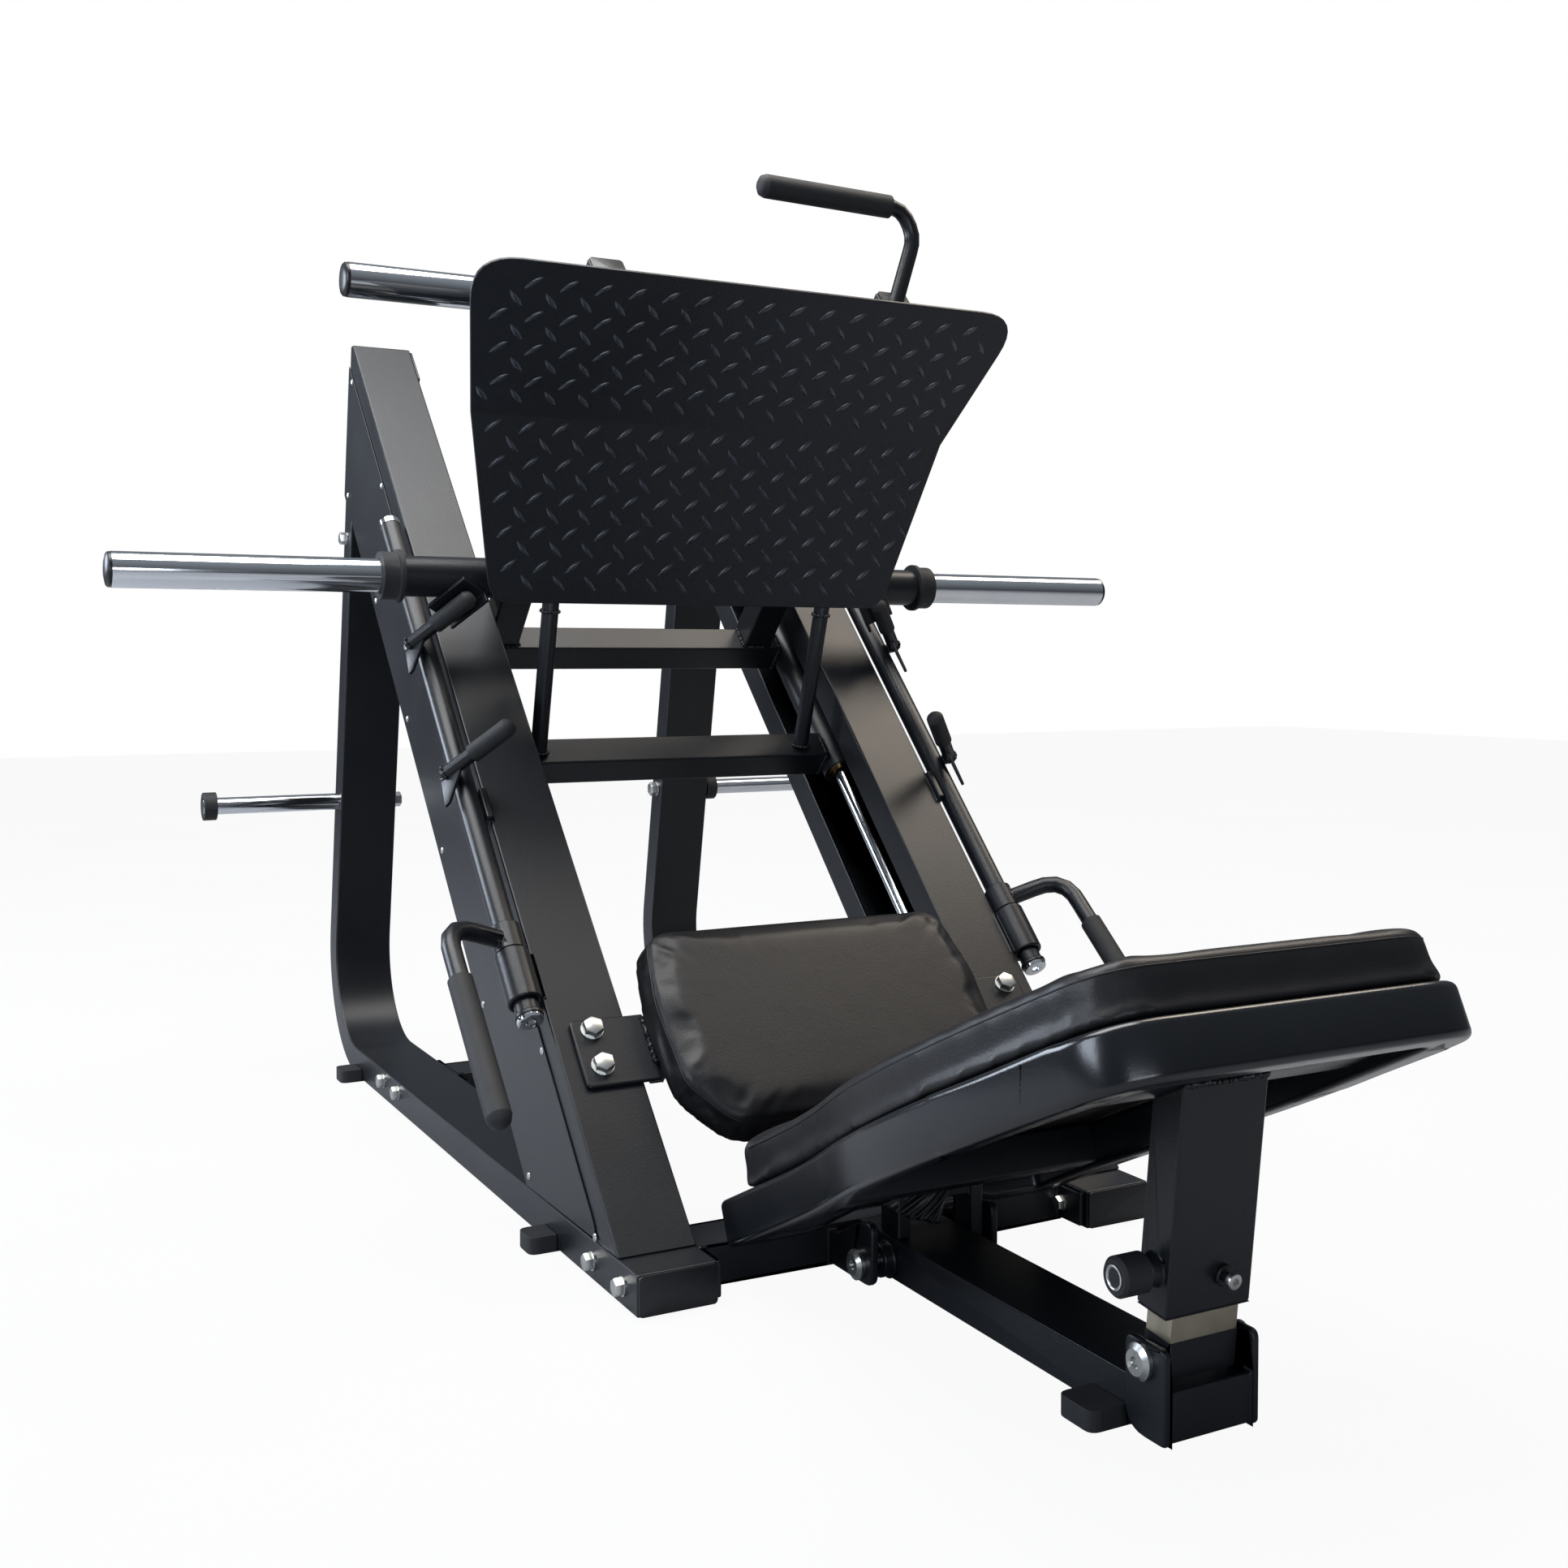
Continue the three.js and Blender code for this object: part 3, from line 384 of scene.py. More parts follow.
# %% [markdown]
# ## The tread on the footplate
# Chequer plate carries lens-shaped lugs about 30 mm long and 9 mm wide, rolled in as two sets that lean
# opposite ways, 49 mm apart. One lug is a circle pulled to a lens and raised in two steps, and it is
# repeated over both panels of the folded plate.

# %% Tread lugs
LUG_HALF_L, LUG_HALF_W = 0.0155, 0.0046
LUG_PITCH, ROW_PITCH, ROW_DRIFT = 0.049, 0.0255, 0.0055
PANEL_MARGIN = 0.010


def add_lug(mesh, matrix):
    ring = bmesh.ops.create_circle(mesh, cap_ends=True, radius=1.0, segments=14)["verts"]
    for vert in ring:
        bulge = LUG_HALF_W * (1 - vert.co.x**2)
        vert.co = Vector((vert.co.x * LUG_HALF_L, math.copysign(bulge, vert.co.y), 0))
    face = next(iter(set.intersection(*[set(v.link_faces) for v in ring])))
    verts = list(ring)
    for rise, shrink in ((0.0012, 0.8), (0.0007, 0.5)):
        grown = bmesh.ops.extrude_face_region(mesh, geom=[face])["geom"]
        mesh.faces.remove(face)
        face = next(g for g in grown if isinstance(g, bmesh.types.BMFace))
        top = [g for g in grown if isinstance(g, bmesh.types.BMVert)]
        bmesh.ops.translate(mesh, vec=(0, 0, rise), verts=top)
        bmesh.ops.scale(mesh, vec=(shrink, shrink, 1), verts=top)
        verts += top
    bmesh.ops.transform(mesh, matrix=matrix, verts=verts)


LOW_EDGE, FOLD, HIGH_EDGE = Vector((0, 1.048, 0.123)), Vector((0, 1.1625, 0.375)), Vector((0, 1.176, 0.617))


def panel_frame(origin, towards):
    up = (towards - origin).normalized()
    across = Vector((1, 0, 0))
    turn = Matrix((across, up, across.cross(up))).transposed().to_4x4()
    return Matrix.Translation(origin) @ turn, (towards - origin).length


tread = bmesh.new()
lugs = 0
for origin, towards, wide, narrow in ((FOLD, HIGH_EDGE, 0.402, 0.386), (LOW_EDGE, FOLD, 0.380, 0.330)):
    matrix, height = panel_frame(origin, towards)
    for row in range(int(height / ROW_PITCH) + 2):
        along = 0.006 + row * ROW_PITCH
        if not PANEL_MARGIN < along < height - PANEL_MARGIN:
            continue
        share = along / height
        half = narrow + (wide - narrow) * share - 0.012
        if origin is FOLD and share > 0.82:
            half -= 0.06 * (share - 0.82) / 0.18
        if origin is not FOLD and share < 0.12:
            half -= 0.02
        shift = LUG_PITCH / 2 * (row % 2) - ROW_DRIFT * row
        turn = math.radians(42 if row % 2 == 0 else -48)
        for column in range(-10, 11):
            x = column * LUG_PITCH + shift
            if abs(x) < half:
                spot = Matrix.Translation((x, along, 0.0)) @ Matrix.Rotation(turn, 4, "Z")
                add_lug(tread, matrix @ spot)
                lugs += 1
# The lugs carry the lighter lug paint, which is a painted highlight.
make_piece("footplate_tread", tread, LUG_POWDER, "sled", SLOPE, 60)
print("tread lugs:", lugs)

# %% [markdown]
# ## Bolts and screws
# Zinc hex bolts hold the cross members, posts and seat plates. A head is a six-sided cylinder over a
# washer, with its top corners turned off.

# %% Hex bolts
WASHER_T = 0.0018


def join_to(mesh, extra):
    data = bpy.data.meshes.new("part of a piece")
    extra.to_mesh(data)
    extra.free()
    mesh.from_mesh(data)
    bpy.data.meshes.remove(data)


def hex_bolt(name, at, out, across, body="frame", place=LEVEL, thick=0.55, washer=1.25):
    radius, height = across / 2 / math.cos(math.pi / 6), across * thick
    start, out = Vector(at), Vector(out)
    rim = across / 2 * washer
    mesh = turned([(0, 0), (rim, 0), (rim, WASHER_T), (0, WASHER_T)], start, start + out, 24)
    head = bmesh.new()
    bmesh.ops.create_cone(head, cap_ends=True, segments=6, radius1=radius, radius2=radius, depth=height)
    bmesh.ops.bevel(head, geom=[e for e in head.edges if all(v.co.z > 0 for v in e.verts)],
                    offset=across * 0.09, affect="EDGES", segments=2, profile=0.5, material=-1)
    lift = start + out.normalized() * (WASHER_T + height / 2)
    join_to(mesh, aimed(head, lift, lift + out))
    return make_piece(name, mesh, ZINC, body, place)


out_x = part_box("base_frame_right")[1].x
FRAME_BOLTS = {"a": (0.045, 0.026), "b": (0.143, 0.026), "c": (1.042, 0.034), "d": (1.137, 0.034),
               "e": (1.366, 0.964)}
bolts = 0
for side, sign in SIDES:
    made = [hex_bolt(f"frame_bolt_{label}_{side}", (sign * out_x, y, z), (sign, 0, 0), 0.019)
            for label, (y, z) in FRAME_BOLTS.items()]
    made.append(hex_bolt(f"storage_nut_{side}", (sign * 0.2658, 1.455, 0.486), (-sign, 0, 0), 0.024))
    for label, s in (("low", 0.332), ("high", 0.386)):
        at = (sign * 0.317, s, 0)
        made.append(hex_bolt(f"seat_bolt_{label}_{side}", at, (0, 0, 1), 0.024, "frame", SLOPE, 0.45))
    made += [hex_bolt(f"flange_bolt_{label}_{side}", (sign * 0.2577, y, 0.027), (-sign, 0, 0), 0.017)
             for label, y in ((45, 0.045), (143, 0.143))]
    bolts += len(made)
print("hex bolts and nuts:", bolts)

# %% [markdown]
# ## Cover screws
# Small domed screws run along the two edges of each side cover, thirteen to a side. One head is turned
# and repeated at each spot, and each side's screws stay together as one piece.

# %% Cover screws
cover_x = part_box("rail_cover_right")[1].x
screw_head = [(0, 0), (0.0052, 0), (0.0048, 0.001), (0.003, 0.0018), (0, 0.0021)]
screw_spots = [(s, -0.217) for s in (0.310, 0.584, 0.865, 1.136, 1.409, 1.680)]
screw_spots += [(s, -0.052) for s in (0.130, 0.396, 0.675, 0.955, 1.232, 1.511, 1.790)]
for side, sign in SIDES:
    heads = bmesh.new()
    for s, n in screw_spots:
        join_to(heads, turned(screw_head, (sign * cover_x, s, n), (sign * 2, s, n), 16))
    make_piece(f"cover_screws_{side}", heads, ZINC, "frame", SLOPE)
print("cover screws on each side:", len(screw_spots))

# %% [markdown]
# ## Lever ends
# Each safety lever turns on a shoulder screw whose chrome head, with a hexagon socket, sits on a black
# washer at the bottom of the tube. A plain chrome plug closes the top.

# %% Lever caps
def bridge(mesh, ring_pairs):
    for low, high in ring_pairs:
        for k in range(len(low)):
            after = (k + 1) % len(low)
            mesh.faces.new((low[k], low[after], high[after], high[k]))


def socket_head(radius, thick, hexagon, depth, start, towards, rounding=0.002, steps=48):
    rings = []
    for r, along in ((radius, thick), (radius, rounding), (radius - rounding * 0.3, rounding * 0.3),
                     (radius - rounding, 0)):
        rings.append([(r * math.cos(a), r * math.sin(a), along) for a in
                      (2 * math.pi * i / steps for i in range(steps))])
    for along in (0, depth):
        ring = []
        for i in range(steps):
            angle = 2 * math.pi * i / steps
            flat = hexagon / 2 / math.cos((angle + math.pi / 6) % (math.pi / 3) - math.pi / 6)
            ring.append((flat * math.cos(angle), flat * math.sin(angle), along))
        rings.append(ring)
    mesh = bmesh.new()
    rows = [[mesh.verts.new(point) for point in ring] for ring in rings]
    bridge(mesh, zip(rows, rows[1:]))
    mesh.faces.new(rows[0])
    mesh.faces.new(rows[-1])
    return aimed(mesh, start, towards)


LEVER_X, LEVER_N = 0.3895, -0.008
washer = [(0, 0), (0.0178, 0), (0.0188, 0.0014), (0.0188, 0.005), (0.0178, 0.0064), (0, 0.0064)]
plug = [(0, 0), (0.0166, 0), (0.0166, 0.010), (0.014, 0.013), (0, 0.014)]
for side, sign in SIDES:
    body = f"lever_{side}"
    washer_at, socket_at, plug_at, up = [(sign * LEVER_X, s, LEVER_N) for s in (0.4174, 0.4112, 1.3562, 2)]
    make_piece(f"lever_washer_{side}", turned(washer, washer_at, up), ABS_BLACK, body, SLOPE)
    head = socket_head(0.0172, 0.0062, 0.0125, 0.0045, socket_at, up)
    make_piece(f"lever_socket_{side}", head, CHROME, body, SLOPE)
    make_piece(f"lever_plug_{side}", turned(plug, plug_at, up), CHROME, body, SLOPE)
print("caps on each lever: 3")

# %% [markdown]
# ## Peg gussets
# A small triangular plate braces each peg against its lever tube, on the side that takes the load.

# %% Gussets under the pegs
def plate(outline, thick):
    mesh = bmesh.new()
    face = mesh.faces.new([mesh.verts.new((a, b, -thick / 2)) for a, b in outline])
    grown = bmesh.ops.extrude_face_region(mesh, geom=[face])["geom"]
    top = [g for g in grown if isinstance(g, bmesh.types.BMVert)]
    bmesh.ops.translate(mesh, vec=(0, 0, thick), verts=top)
    bmesh.ops.bevel(mesh, geom=mesh.edges[:], offset=thick * 0.16, affect="EDGES", segments=2, profile=0.5,
                    material=-1)
    return mesh


PEG_ROOT, PEG_TIP = Vector((0.417, 0, 0.002)), Vector((0.3405, 0, 0.106))
PEG_ROWS = (("lower", 0.8245), ("upper", 1.081))
PEG_R, GUSSET_T = 0.0098, 0.005
GUSSET = [(-0.006, 0), (0.030, 0), (0.028, 0.004), (-0.002, 0.040), (-0.010, 0.042)]
for side, sign in SIDES:
    for level, s in PEG_ROWS:
        along = (PEG_TIP - PEG_ROOT).normalized()
        along.x *= sign
        downhill = Vector((0, -1, 0))
        normal = along.cross(downhill)
        spot = Matrix((along, downhill, normal)).transposed().to_4x4()
        spot.translation = Vector((sign * PEG_ROOT.x, s, PEG_ROOT.z)) + downhill * PEG_R
        make_piece(f"peg_gusset_{level}_{side}", plate(GUSSET, GUSSET_T), POWDER, f"lever_{side}",
                   SLOPE @ spot)
print("gussets on each lever:", len(PEG_ROWS))

# %% [markdown]
# ## The backrest rim
# The pad sits on a loop of deep rectangular tube. Its outline is a list of corners, each half width at
# a distance along the backrest with the radius it is rounded to. An outer and an inner outline are
# walked in step, and a cross-section with rounded corners is stretched between them at every step.

# %% Rim
BACK_L, RIM_W, RIM_H, RIM_R = 0.828, 0.042, 0.056, 0.008
NOTCH_HALF, NOTCH_RAMP, NOTCH_H = 0.100, 0.006, 0.017
CORNERS = [(0, 0.236, 0.014), (0.28, 0.229, 0.6), (0.53, 0.276, 0.78), (0.8, 0.25, 2.2), (1, 0.218, 0.08)]


def back_outline(inset, start, end, curve=14, straight=6):
    right = [(w - inset, min(max(t * BACK_L, start), BACK_L - end), max(r - inset, RIM_R))
             for t, w, r in CORNERS]
    corners = right + [(-w, t, r) for w, t, r in reversed(right)]
    points = []
    for i, (x, t, radius) in enumerate(corners):
        here = Vector((x, t))
        before = Vector(corners[i - 1][:2]) - here
        after = Vector(corners[(i + 1) % len(corners)][:2]) - here
        trim = radius / math.tan(before.angle(after) / 2)
        enter, leave = here + before.normalized() * trim, here + after.normalized() * trim
        if points:
            points += [points[-1].lerp(enter, k / straight) for k in range(1, straight)]
        for k in range(curve + 1):
            u = k / curve
            points.append(enter * (1 - u) ** 2 + here * 2 * u * (1 - u) + leave * u**2)
    points += [points[-1].lerp(points[0], k / straight) for k in range(1, straight)]
    return points


def rim_section(width, low, high, arc=4):
    near, far = RIM_R, width - RIM_R
    corners = ((near, low + RIM_R, 180), (far, low + RIM_R, 270), (far, high - RIM_R, 0),
               (near, high - RIM_R, 90))
    for a, b, start in corners:
        for k in range(arc + 1):
            turn = math.radians(start + 90 * k / arc)
            yield a + RIM_R * math.cos(turn), b + RIM_R * math.sin(turn)


def rim_piece():
    outer, inner = back_outline(0, 0, 0), back_outline(RIM_W, RIM_W - 0.004, RIM_W)
    mesh = bmesh.new()
    rings = []
    for out, into in zip(outer, inner):
        past = (abs(out.x) - NOTCH_HALF) / NOTCH_RAMP
        low = NOTCH_H * (1 - min(max(past, 0), 1)) if out.y < 0.02 else 0
        width = (into - out).length
        step = (into - out) / width
        section = [(out + step * a, b) for a, b in rim_section(width, low, RIM_H)]
        rings.append([mesh.verts.new((spot.x, spot.y, b)) for spot, b in section])
    bridge(mesh, zip(rings, rings[1:] + rings[:1]))
    piece = make_piece("back_rim", mesh, RIM_POWDER, "backrest", BACK, 50)
    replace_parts(piece, "back_frame")
    return len(rings)


print("rim sections:", rim_piece())

# %% [markdown]
# ## Inside the rim
# A tie bar crosses the loop near the hinge and carries two lugs with a bored boss, and a plank higher up
# takes the stay.

# %% Tie, lugs and plank
def block(low, high):
    mesh = bmesh.new()
    bmesh.ops.create_cube(mesh, size=1.0)
    for vert in mesh.verts:
        vert.co = Vector([low[i] + (vert.co[i] + 0.5) * (high[i] - low[i]) for i in range(3)])
    return mesh


def round_edges(mesh, edges, offset, segments):
    bmesh.ops.bevel(mesh, geom=edges, offset=offset, affect="EDGES", segments=segments, profile=0.5,
                    material=-1)


def slab(name, low, high, width):
    mesh = block(low, high)
    round_edges(mesh, mesh.edges[:], width, 3)
    make_piece(name, mesh, POWDER, "backrest", BACK)


in_back = BACK.inverted() @ LEVEL
hinge = in_back @ Vector((0, -0.020, 0.114))
stay_top = in_back @ Vector((0, -0.552, 0.330))
tie = hinge.y + 0.066
slab("back_tie", (-0.2, tie, 0.008), (0.2, tie + 0.036, 0.055), 0.004)
slab("stay_plank", (-0.225, stay_top.y - 0.032, 0.014), (0.225, stay_top.y + 0.032, 0.052), 0.004)
for side, sign in SIDES:
    inner, outer = sorted((sign * 0.076, sign * 0.084))
    slab(f"hinge_lug_{side}", (inner, hinge.y - 0.020, hinge.z - 0.020),
         (outer, tie + 0.004, hinge.z + 0.020), 0.003)
    ring = [(0.0107, -0.0065), (0.017, -0.0065), (0.018, -0.0055), (0.018, 0.0055), (0.017, 0.0065),
            (0.0107, 0.0065), (0.0107, -0.0065)]
    boss = turned(ring, (sign * 0.080, hinge.y, hinge.z), (sign * 2, hinge.y, hinge.z))
    make_piece(f"hinge_boss_{side}", boss, POWDER, "backrest", BACK)
print("hinge sits at", [round(v, 4) for v in hinge])

# %% [markdown]
# ## Weld beads
# Where two tubes meet, the welder leaves a row of overlapping ripples about 3 mm apart, painted over
# with the rest. A bead is a thin tube along the joint whose rings swell, shrink and wander a little.

# %% Rippled bead
def swept(spots, radii, closed=False, sides=8):
    mesh = bmesh.new()
    rings = []
    count = len(spots)
    for i, (spot, radius) in enumerate(zip(spots, radii)):
        after = spots[(i + 1) % count] if closed else spots[min(i + 1, count - 1)]
        before = spots[i - 1] if closed or i else spots[0]
        ahead = (after - before).normalized()
        side = ahead.cross(Vector((0.31, 0.52, 0.79))).normalized()
        lift = ahead.cross(side)
        turns = [2 * math.pi * k / sides for k in range(sides)]
        ring = [spot + radius * (side * math.cos(t) + lift * math.sin(t)) for t in turns]
        rings.append([mesh.verts.new(point) for point in ring])
    bridge(mesh, zip(rings, rings[1:] + (rings[:1] if closed else [])))
    if not closed:
        mesh.faces.new(rings[0])
        mesh.faces.new(rings[-1])
    return mesh


def bead(name, points, radius, body, place=SLOPE, pitch=0.0028):
    path = [Vector(p) for p in points]
    spots = []
    for a, b in zip(path, path[1:]):
        count = max(2, round((b - a).length / (pitch / 2)))
        spots += [a.lerp(b, i / count) for i in range(count)]
    spots.append(path[-1])
    radii = []
    for i, spot in enumerate(spots):
        swell = (1.0 if i % 2 else 0.74) * (1 + 0.16 * math.sin(i * 1.7) + 0.08 * math.sin(i * 4.3))
        radii.append(radius * swell * (0.45 if i in (0, len(spots) - 1) else 1))
        wander = Vector((0.14 * math.sin(i * 0.9), 0.14 * math.sin(i * 1.3), 0.1 * math.sin(i)))
        spots[i] = spot + radius * wander
    return make_piece(name, swept(spots, radii), POWDER, body, place, 60)


def loop(centre, along, radius, start=0.0, sweep=2 * math.pi, steps=20):
    axis = Vector(along).normalized()
    side = axis.orthogonal().normalized()
    lift = axis.cross(side)
    return [Vector(centre) + radius * (side * math.cos(start + sweep * i / steps) +
                                       lift * math.sin(start + sweep * i / steps)) for i in range(steps + 1)]


beads = 0
for side, sign in SIDES:
    bar_end = sign * 0.2674
    lever = f"lever_{side}"
    joints = [
        ("seat_plate", [(sign * 0.2455, 0.325, 0.0005), (sign * 0.2455, 0.398, 0.0005)], 0.0042, "frame"),
        ("strut_foot", loop((sign * 0.225, 0.951, -0.0975), (0, 0.53, 0.85), 0.0138), 0.0028, "sled"),
        ("strut_head", loop((sign * 0.2282, 1.0555, 0.1005), (0, 0.53, 0.85), 0.0132), 0.0026, "sled"),
        ("post_foot", [(sign * 0.201, 1.1815, -0.0975), (sign * 0.251, 1.1815, -0.0975)], 0.0032, "sled"),
        ("post_foot_in", [(sign * 0.2005, 1.182, -0.0975), (sign * 0.2005, 1.226, -0.0975)], 0.003, "sled"),
        ("low_bar_top", [(bar_end, 0.931, -0.0985), (bar_end, 0.977, -0.0985)], 0.0032, "sled"),
        ("high_bar_top", [(bar_end, 1.179, -0.0985), (bar_end, 1.225, -0.0985)], 0.0032, "sled"),
        ("low_bar_front", [(bar_end, 0.9288, -0.100), (bar_end, 0.9288, -0.146)], 0.003, "sled"),
        ("high_bar_front", [(bar_end, 1.1768, -0.100), (bar_end, 1.1768, -0.146)], 0.003, "sled"),
        ("saddle_out", loop((sign * 0.2435, 1.1345, 0.092), (1, 0, 0), 0.0312, 0.3, 2.4), 0.003, "sled"),
        ("lever_arm", loop((sign * 0.4035, 0.5404, -0.0008), (0.9, 0.01, 0.43), 0.0135), 0.0028, lever),
        ("lever_collar", loop((sign * LEVER_X, 0.5602, LEVER_N), (0, 1, 0), 0.0172), 0.0022, lever),
    ]
    for level, s in PEG_ROWS:
        root = loop((sign * 0.4140, s, 0.006), (-0.59 * sign, 0, 0.81), 0.0108)
        joints.append((f"peg_{level}", root, 0.0026, lever))
    for name, points, radius, body in joints:
        bead(f"weld_{name}_{side}", points, radius, body)
        beads += 1
edge = min((p for p in back_outline(0, 0, 0) if p.x > 0), key=lambda p: abs(p.y - 0.86 * BACK_L))
bead("weld_rim_seam", [(edge.x, edge.y + 0.004, 0.050), (edge.x + 0.0004, edge.y - 0.012, 0.006)],
     0.0013, "backrest", BACK)
bead("weld_handle_root", loop((0.226, 0.4362, 1.268), (0.36, 0.1, 0.93), 0.0128), 0.0026, "sled", LEVEL)
print("weld beads:", beads + 2)

# %% [markdown]
# ## End caps
# Black moulded plugs close the open ends of the tubes: a flange with rounded corners that stands a
# little proud of the steel.

# %% Tube end caps
def end_cap(name, low, high, body, place=LEVEL):
    mesh = block(low, high)
    size = Vector(high) - Vector(low)
    thin = min(range(3), key=lambda i: size[i])
    corners = [e for e in mesh.edges if abs((e.verts[0].co - e.verts[1].co)[thin]) > 1e-6]
    round_edges(mesh, corners, 0.005, 4)
    rims = [e for e in mesh.edges if len(e.link_faces) == 2 and e.calc_face_angle() > 1.2]
    round_edges(mesh, rims, min(size) * 0.3, 2)
    make_piece(name, mesh, ABS_BLACK, body, place)


for side, sign in SIDES:
    inner, outer = sorted((sign * 0.267, sign * 0.365))
    end_cap(f"base_cap_{side}", (inner, -0.0036, 0.003), (outer, -0.0002, 0.051), "frame")
    inner, outer = sorted((sign * 0.202, sign * 0.250))
    end_cap(f"post_cap_{side}", (inner, 1.183, 0.5962), (outer, 1.231, 0.5995), "sled", SLOPE)
    inner, outer = sorted((sign * 0.2622, sign * 0.2658))
    end_cap(f"rail_head_plate_{side}", (inner, 1.757, -0.120), (outer, 1.836, -0.0095), "frame", SLOPE)
print("end caps and plates on each side: 3")

# %% [markdown]
# ## Small parts of the stay
# The pull knob has a bright insert in its end and a threaded collar at its root, a socket screw stops
# the sleeve's travel, and the lowest part of the inner post is painted black.

# %% Knob insert, collar and stop screw
insert = [(0.0088, 0), (0.0122, 0), (0.0122, 0.0012), (0.0108, 0.0016), (0.0098, 0.0012), (0.0088, 0)]
make_piece("knob_insert", turned(insert, (-0.1003, 0, 0.092), (-2, 0, 0.092)), ZINC, "knob", STAY)
collar = [(0.0078, 0), (0.0118, 0), (0.0118, 0.0016), (0.0104, 0.0022), (0.0078, 0.0022), (0.0078, 0)]
collar_mesh = turned(collar, (-0.0671, 0, 0.092), (-2, 0, 0.092))
make_piece("knob_collar", collar_mesh, ABS_BLACK, "backrest", STAY)
post_paint = merged_copy("stay_post")
bmesh.ops.transform(post_paint, matrix=STAY.inverted(), verts=post_paint.verts)
bmesh.ops.bisect_plane(post_paint, geom=post_paint.verts[:] + post_paint.edges[:] + post_paint.faces[:],
                       plane_co=(0, 0, 0.022), plane_no=(0, 0, 1), clear_outer=True)
for vert in post_paint.verts:
    vert.co.x *= 1.01
    vert.co.y *= 1.02
make_piece("stay_post_paint", post_paint, POWDER, "stay", STAY)
lock_nut = [(0, 0), (0.0108, 0), (0.0108, 0.0042), (0.0096, 0.0056), (0.0048, 0.0056), (0.0048, 0.0135),
            (0, 0.0135)]
nut_mesh = turned(lock_nut, (0.014, -0.0221, 0.084), (0.014, -1, 0.084))
make_piece("stay_stop_screw", nut_mesh, ABS_BLACK, "backrest", STAY)
screw = socket_head(0.0082, 0.0062, 0.0072, 0.004, (0.014, -0.0414, 0.084), (0.014, 0, 0.084), 0.0012, 36)
make_piece("stay_stop_head", screw, ZINC, "backrest", STAY)
bead("weld_stay_front", [(-0.051, -0.0225, 0.2812), (0.051, -0.0225, 0.2812)], 0.0036, "backrest", STAY)
print("stay details: 6")

# %% [markdown]
# ## Gathered cover at the hinge
# A flap of thin vinyl is pulled from the hinge down to the beam and gathers into radiating folds. It is
# a fan between an apex and a curved hem, with folds that grow towards the hem.

# %% Hinge cover
def hinge_cover():
    apex = Vector((0.036, -0.046, 0.139))
    left, sag = Vector((-0.068, -0.034, 0.096)), Vector((-0.022, -0.056, 0.0705))
    right = Vector((0.006, -0.055, 0.068))
    mesh = bmesh.new()
    across, down = 72, 18
    rows = []
    for i in range(across + 1):
        u = i / across
        hem = left * (1 - u) ** 2 + sag * 2 * u * (1 - u) + right * u**2
        fold = math.sin(u * 31) * 0.6 + math.sin(u * 53 + 1.3) * 0.4 + math.sin(u * 12) * 0.5
        row = []
        for j in range(down + 1):
            v = 0.04 + 0.96 * j / down
            ripple = 0.0034 * v**0.8 * fold * (1 + 0.35 * math.sin(v * 9 + u * 14))
            belly = -0.010 * math.sin(math.pi * v) * math.sin(math.pi * u)
            push = Vector((0.3 * ripple, belly - ripple, 0.4 * ripple))
            row.append(mesh.verts.new(apex.lerp(hem, v) + push))
        rows.append(row)
    for near, far in zip(rows, rows[1:]):
        for j in range(down):
            mesh.faces.new((near[j], near[j + 1], far[j + 1], far[j]))
    bmesh.ops.recalc_face_normals(mesh, faces=mesh.faces)
    bmesh.ops.solidify(mesh, geom=mesh.faces[:], thickness=0.0012)
    return make_piece("hinge_cover", mesh, VINYL, "frame", LEVEL, 180)


print("hinge cover faces:", len(hinge_cover().data.polygons))

# %% [markdown]
# ## The two pads
# A pad is foam on a board, wrapped in vinyl that is pulled tight and stapled underneath, so the face
# crowns and the edges roll while the base stays flat. A short cloth simulation with pressure inside
# gives that: the base is pinned, and how far the cover may move is capped.

